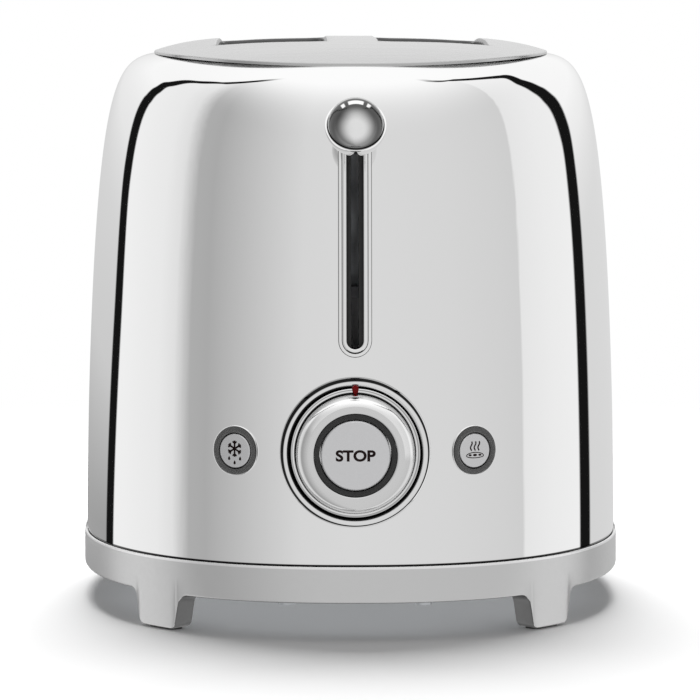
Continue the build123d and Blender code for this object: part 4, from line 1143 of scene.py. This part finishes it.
def thawMarks():  # a six-armed flake over three drops
    shapes, centre = [], Vector((0, thaw["middle"]))
    for arm in range(6):
        turn = pi * arm / 3 + pi / 2
        way, side = Vector((cos(turn), sin(turn))), Vector((-sin(turn), cos(turn)))
        shapes.append(stroke([centre, centre + way * thaw["arm"]], thaw["armWidth"]))
        root, size = centre + way * thaw["fork"], thaw["forkSize"]
        for hand in (-1, 1):
            shapes.append(stroke([root, root + way * size + side * hand * size], thaw["forkWidth"]))
    return shapes + [dropOutline(x, y, thaw["dropSize"]) for x, y in thaw["drops"]]


warm = {
    "wisps": (-1.45, 0, 1.45),
    "wispSway": 0.32,
    "wispTop": 3.1,
    "wispWidth": 0.5,
    "loafHalf": 3.3,
    "loafMiddle": -1.75,
    "loafRise": 1.15,
    "loafFall": 0.7,
    "loafWidth": 0.3,
    "cuts": ((-1.9, 0.62), (0, 0.78), (1.9, 0.62)),
    "cutMiddle": -1.5,
    "cutShare": 0.55,
}


def warmMarks():  # three wisps of steam over a flat loaf with three cuts
    shapes, top = [], warm["wispTop"]
    for column in warm["wisps"]:
        wisp = [
            (column + warm["wispSway"] * sin(2 * pi * step / 14 + 0.5), top - top * step / 14)
            for step in range(15)
        ]
        shapes.append(stroke(wisp, warm["wispWidth"]))
    loaf = []
    for turn in (*turnsOf(48), 2 * pi):
        rise = (warm["loafRise"] if sin(turn) > 0 else warm["loafFall"]) * sin(turn)
        loaf.append((warm["loafHalf"] * cos(turn), warm["loafMiddle"] + rise))
    shapes.append(stroke(loaf, warm["loafWidth"]))
    for column, size in warm["cuts"]:
        middle, tall = warm["cutMiddle"], warm["cutShare"] * size
        shapes.append([(column + size * cos(turn), middle + tall * sin(turn)) for turn in turnsOf(20)])
    return shapes


def makeMarks(name, axle, shapes, carrier):
    level, half = buttons["markLevel"], buttons["markHalf"]
    points, faces = [], []
    for shape in shapes:
        start, count = len(points), len(shape)
        points += [axle.point(height, *place) for height in (level - half, level + half) for place in shape]
        faces += [tuple(start + corner for corner in face) for face in gridFaces(2, count)]
        faces.append(tuple(range(start + count, start + 2 * count)))
    marks = makeObject(name, points, faces, "mark", 30)
    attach(marks, carrier)


def makeButtons():
    for side, name, shapes in ((-1, "defrost", thawMarks()), (1, "reheat", warmMarks())):
        axle = buttonAxle(side)
        button = name + "_button"
        ring, trim, cap, stem = (buttons[part] for part in ("ring", "trim", "cap", "stem"))
        turnedFit(name + "_ring", axle, ring, 5, "button_ring", 96, "housing", "trim_chrome", name + "_bezel")
        turnedFit(name + "_trim", axle, trim, 4, "trim_chrome", 96, "housing", "trim_chrome")
        turnedFit(name + "_cap", axle, cap, 4, "cap_metal", 96, button, "cap_metal", button)
        turnedFit(name + "_stem", axle, stem, 3, "black_plastic", 32, button, "cap_metal", button)
        makeMarks(name + "_marks", axle, shapes, button)


def paintCarried():  # the CAD nodes that show as they are
    slots = {entry["node"]: entry["material_slot"] for entry in frame["record"]["subparts"]}
    for name, thing in frame["nodes"].items():
        if not thing.hide_render:
            thing.data.materials.clear()
            thing.data.materials.append(finishes[slots[name]])


finishes = {
    "sleeve_chrome": metal(
        "sleeveChrome", grey(0.92), 0.02, grain=40.0, wear=0.01, tint=0.006, marks=((sleeveFootShade, 0.01),),
    ),
    "plate_steel": metal(
        "brushedSteel", grey(0.57), 0.22, grain=900.0, stretch=(0.02, 1, 1), wear=0.06, relief=0.000005,
        marks=((slotWallShade, 0.12),),
    ),
    "base_silver": metal(
        "satinSilver", grey(0.7), 0.34, grain=700.0, wear=0.06, marks=((baseBevelHighlight, 0.95), (baseShades, 0.16)),
    ),
    "pad_rubber": plastic("rubber", grey(0.03), 0.7, grain=500.0, relief=0.0001),
    "galvanised": metal("galvanised", (0.62, 0.64, 0.66), 0.32, grain=90.0, wear=0.2),
    "aluminised": metal("aluminised", (0.7, 0.7, 0.71), 0.3, grain=220.0, stretch=(1, 1, 0.1), wear=0.12),
    "trim_chrome": metal("trimChrome", grey(0.93), 0.03, grain=60.0, wear=0.01, tint=0.01),
    "black_plastic": plastic("blackPlastic", grey(0.012), 0.45),
    "dial_metal": metal("dialMetal", grey(0.86), 0.1, grain=500.0, tint=0.01),
    "crown_metal": metal("crownMetal", grey(0.98), 0.1, grain=500.0, tint=0.01, marks=((crownShades, 0.76),)),
    "cap_metal": metal("capMetal", (0.74, 0.74, 0.75), 0.3, grain=900.0, wear=0.08, relief=0.000004),
    "smoke_ring": plastic("smokeRing", grey(0.035), 0.3, shine=0.35),
    "pointer_red": plastic("pointerRed", (0.25, 0.001, 0.002), 0.25, shine=0.15),
    "mica": plastic("mica", (0.5, 0.42, 0.3), 0.35, grain=240.0),
    "ribbon": metal("heaterRibbon", (0.42, 0.34, 0.28), 0.4, grain=200.0, wear=0.15),
    "wire": metal("guideWire", (0.66, 0.66, 0.67), 0.2, wear=0.1),
    "rod_steel": metal("rodSteel", (0.7, 0.7, 0.72), 0.12, wear=0.06),
    "brass": metal("brass", (0.78, 0.58, 0.26), 0.25, grain=200.0, wear=0.1),
    "white_plastic": plastic("whitePlastic", (0.7, 0.69, 0.66), 0.4),
    "board": plastic("board", (0.03, 0.16, 0.07), 0.4, grain=400.0),
    "copper": metal("copper", (0.72, 0.36, 0.2), 0.25, grain=900.0, stretch=(1, 1, 0.1), wear=0.15),
    "core_steel": metal("coreSteel", (0.48, 0.48, 0.5), 0.35, grain=500.0, stretch=(0.1, 1, 1), wear=0.15),
    "spring_steel": metal("springSteel", (0.62, 0.62, 0.64), 0.2, wear=0.1),
    "mark": plastic("markPrint", (0.012, 0.003, 0.003), 0.5, shine=0.15),
    "button_ring": plastic("buttonRing", grey(0.1), 0.28, shine=0.6),
    "ball_steel": metal("ballSteel", grey(0.98), 0.13, grain=60.0, tint=0.01, marks=((ballShades, 0.1),)),
    "bezel_chrome": metal(
        "bezelChrome", grey(0.9), 0.05, grain=60.0, wear=0.01, tint=0.01,
        marks=((ringShades(dial["bezelLines"]), 0.012),),
    ),
    "ledge_chrome": metal(
        "ledgeChrome", grey(0.9), 0.08, grain=60.0, wear=0.01, tint=0.01,
        marks=((ringShades(dial["ledgeLines"]), 0.02), (ringShades(dial["ledgeShade"]), 0.45)),
    ),
    # near black, painting shade and dark reflections on the faces listed as dark
    "groove": plastic("groove", grey(0.006), 0.6),
}
print("materials made")

makeSleeve()
print("sleeve made")
makePlate()
print("top plate made")
makeBase()
print("base made")
makeSlotTrim()
makeLever()
print("lever made")
makeDial()
writeStop()
print("dial made")
makeButtons()
print("buttons made")
paintCarried()
print("carried nodes painted")
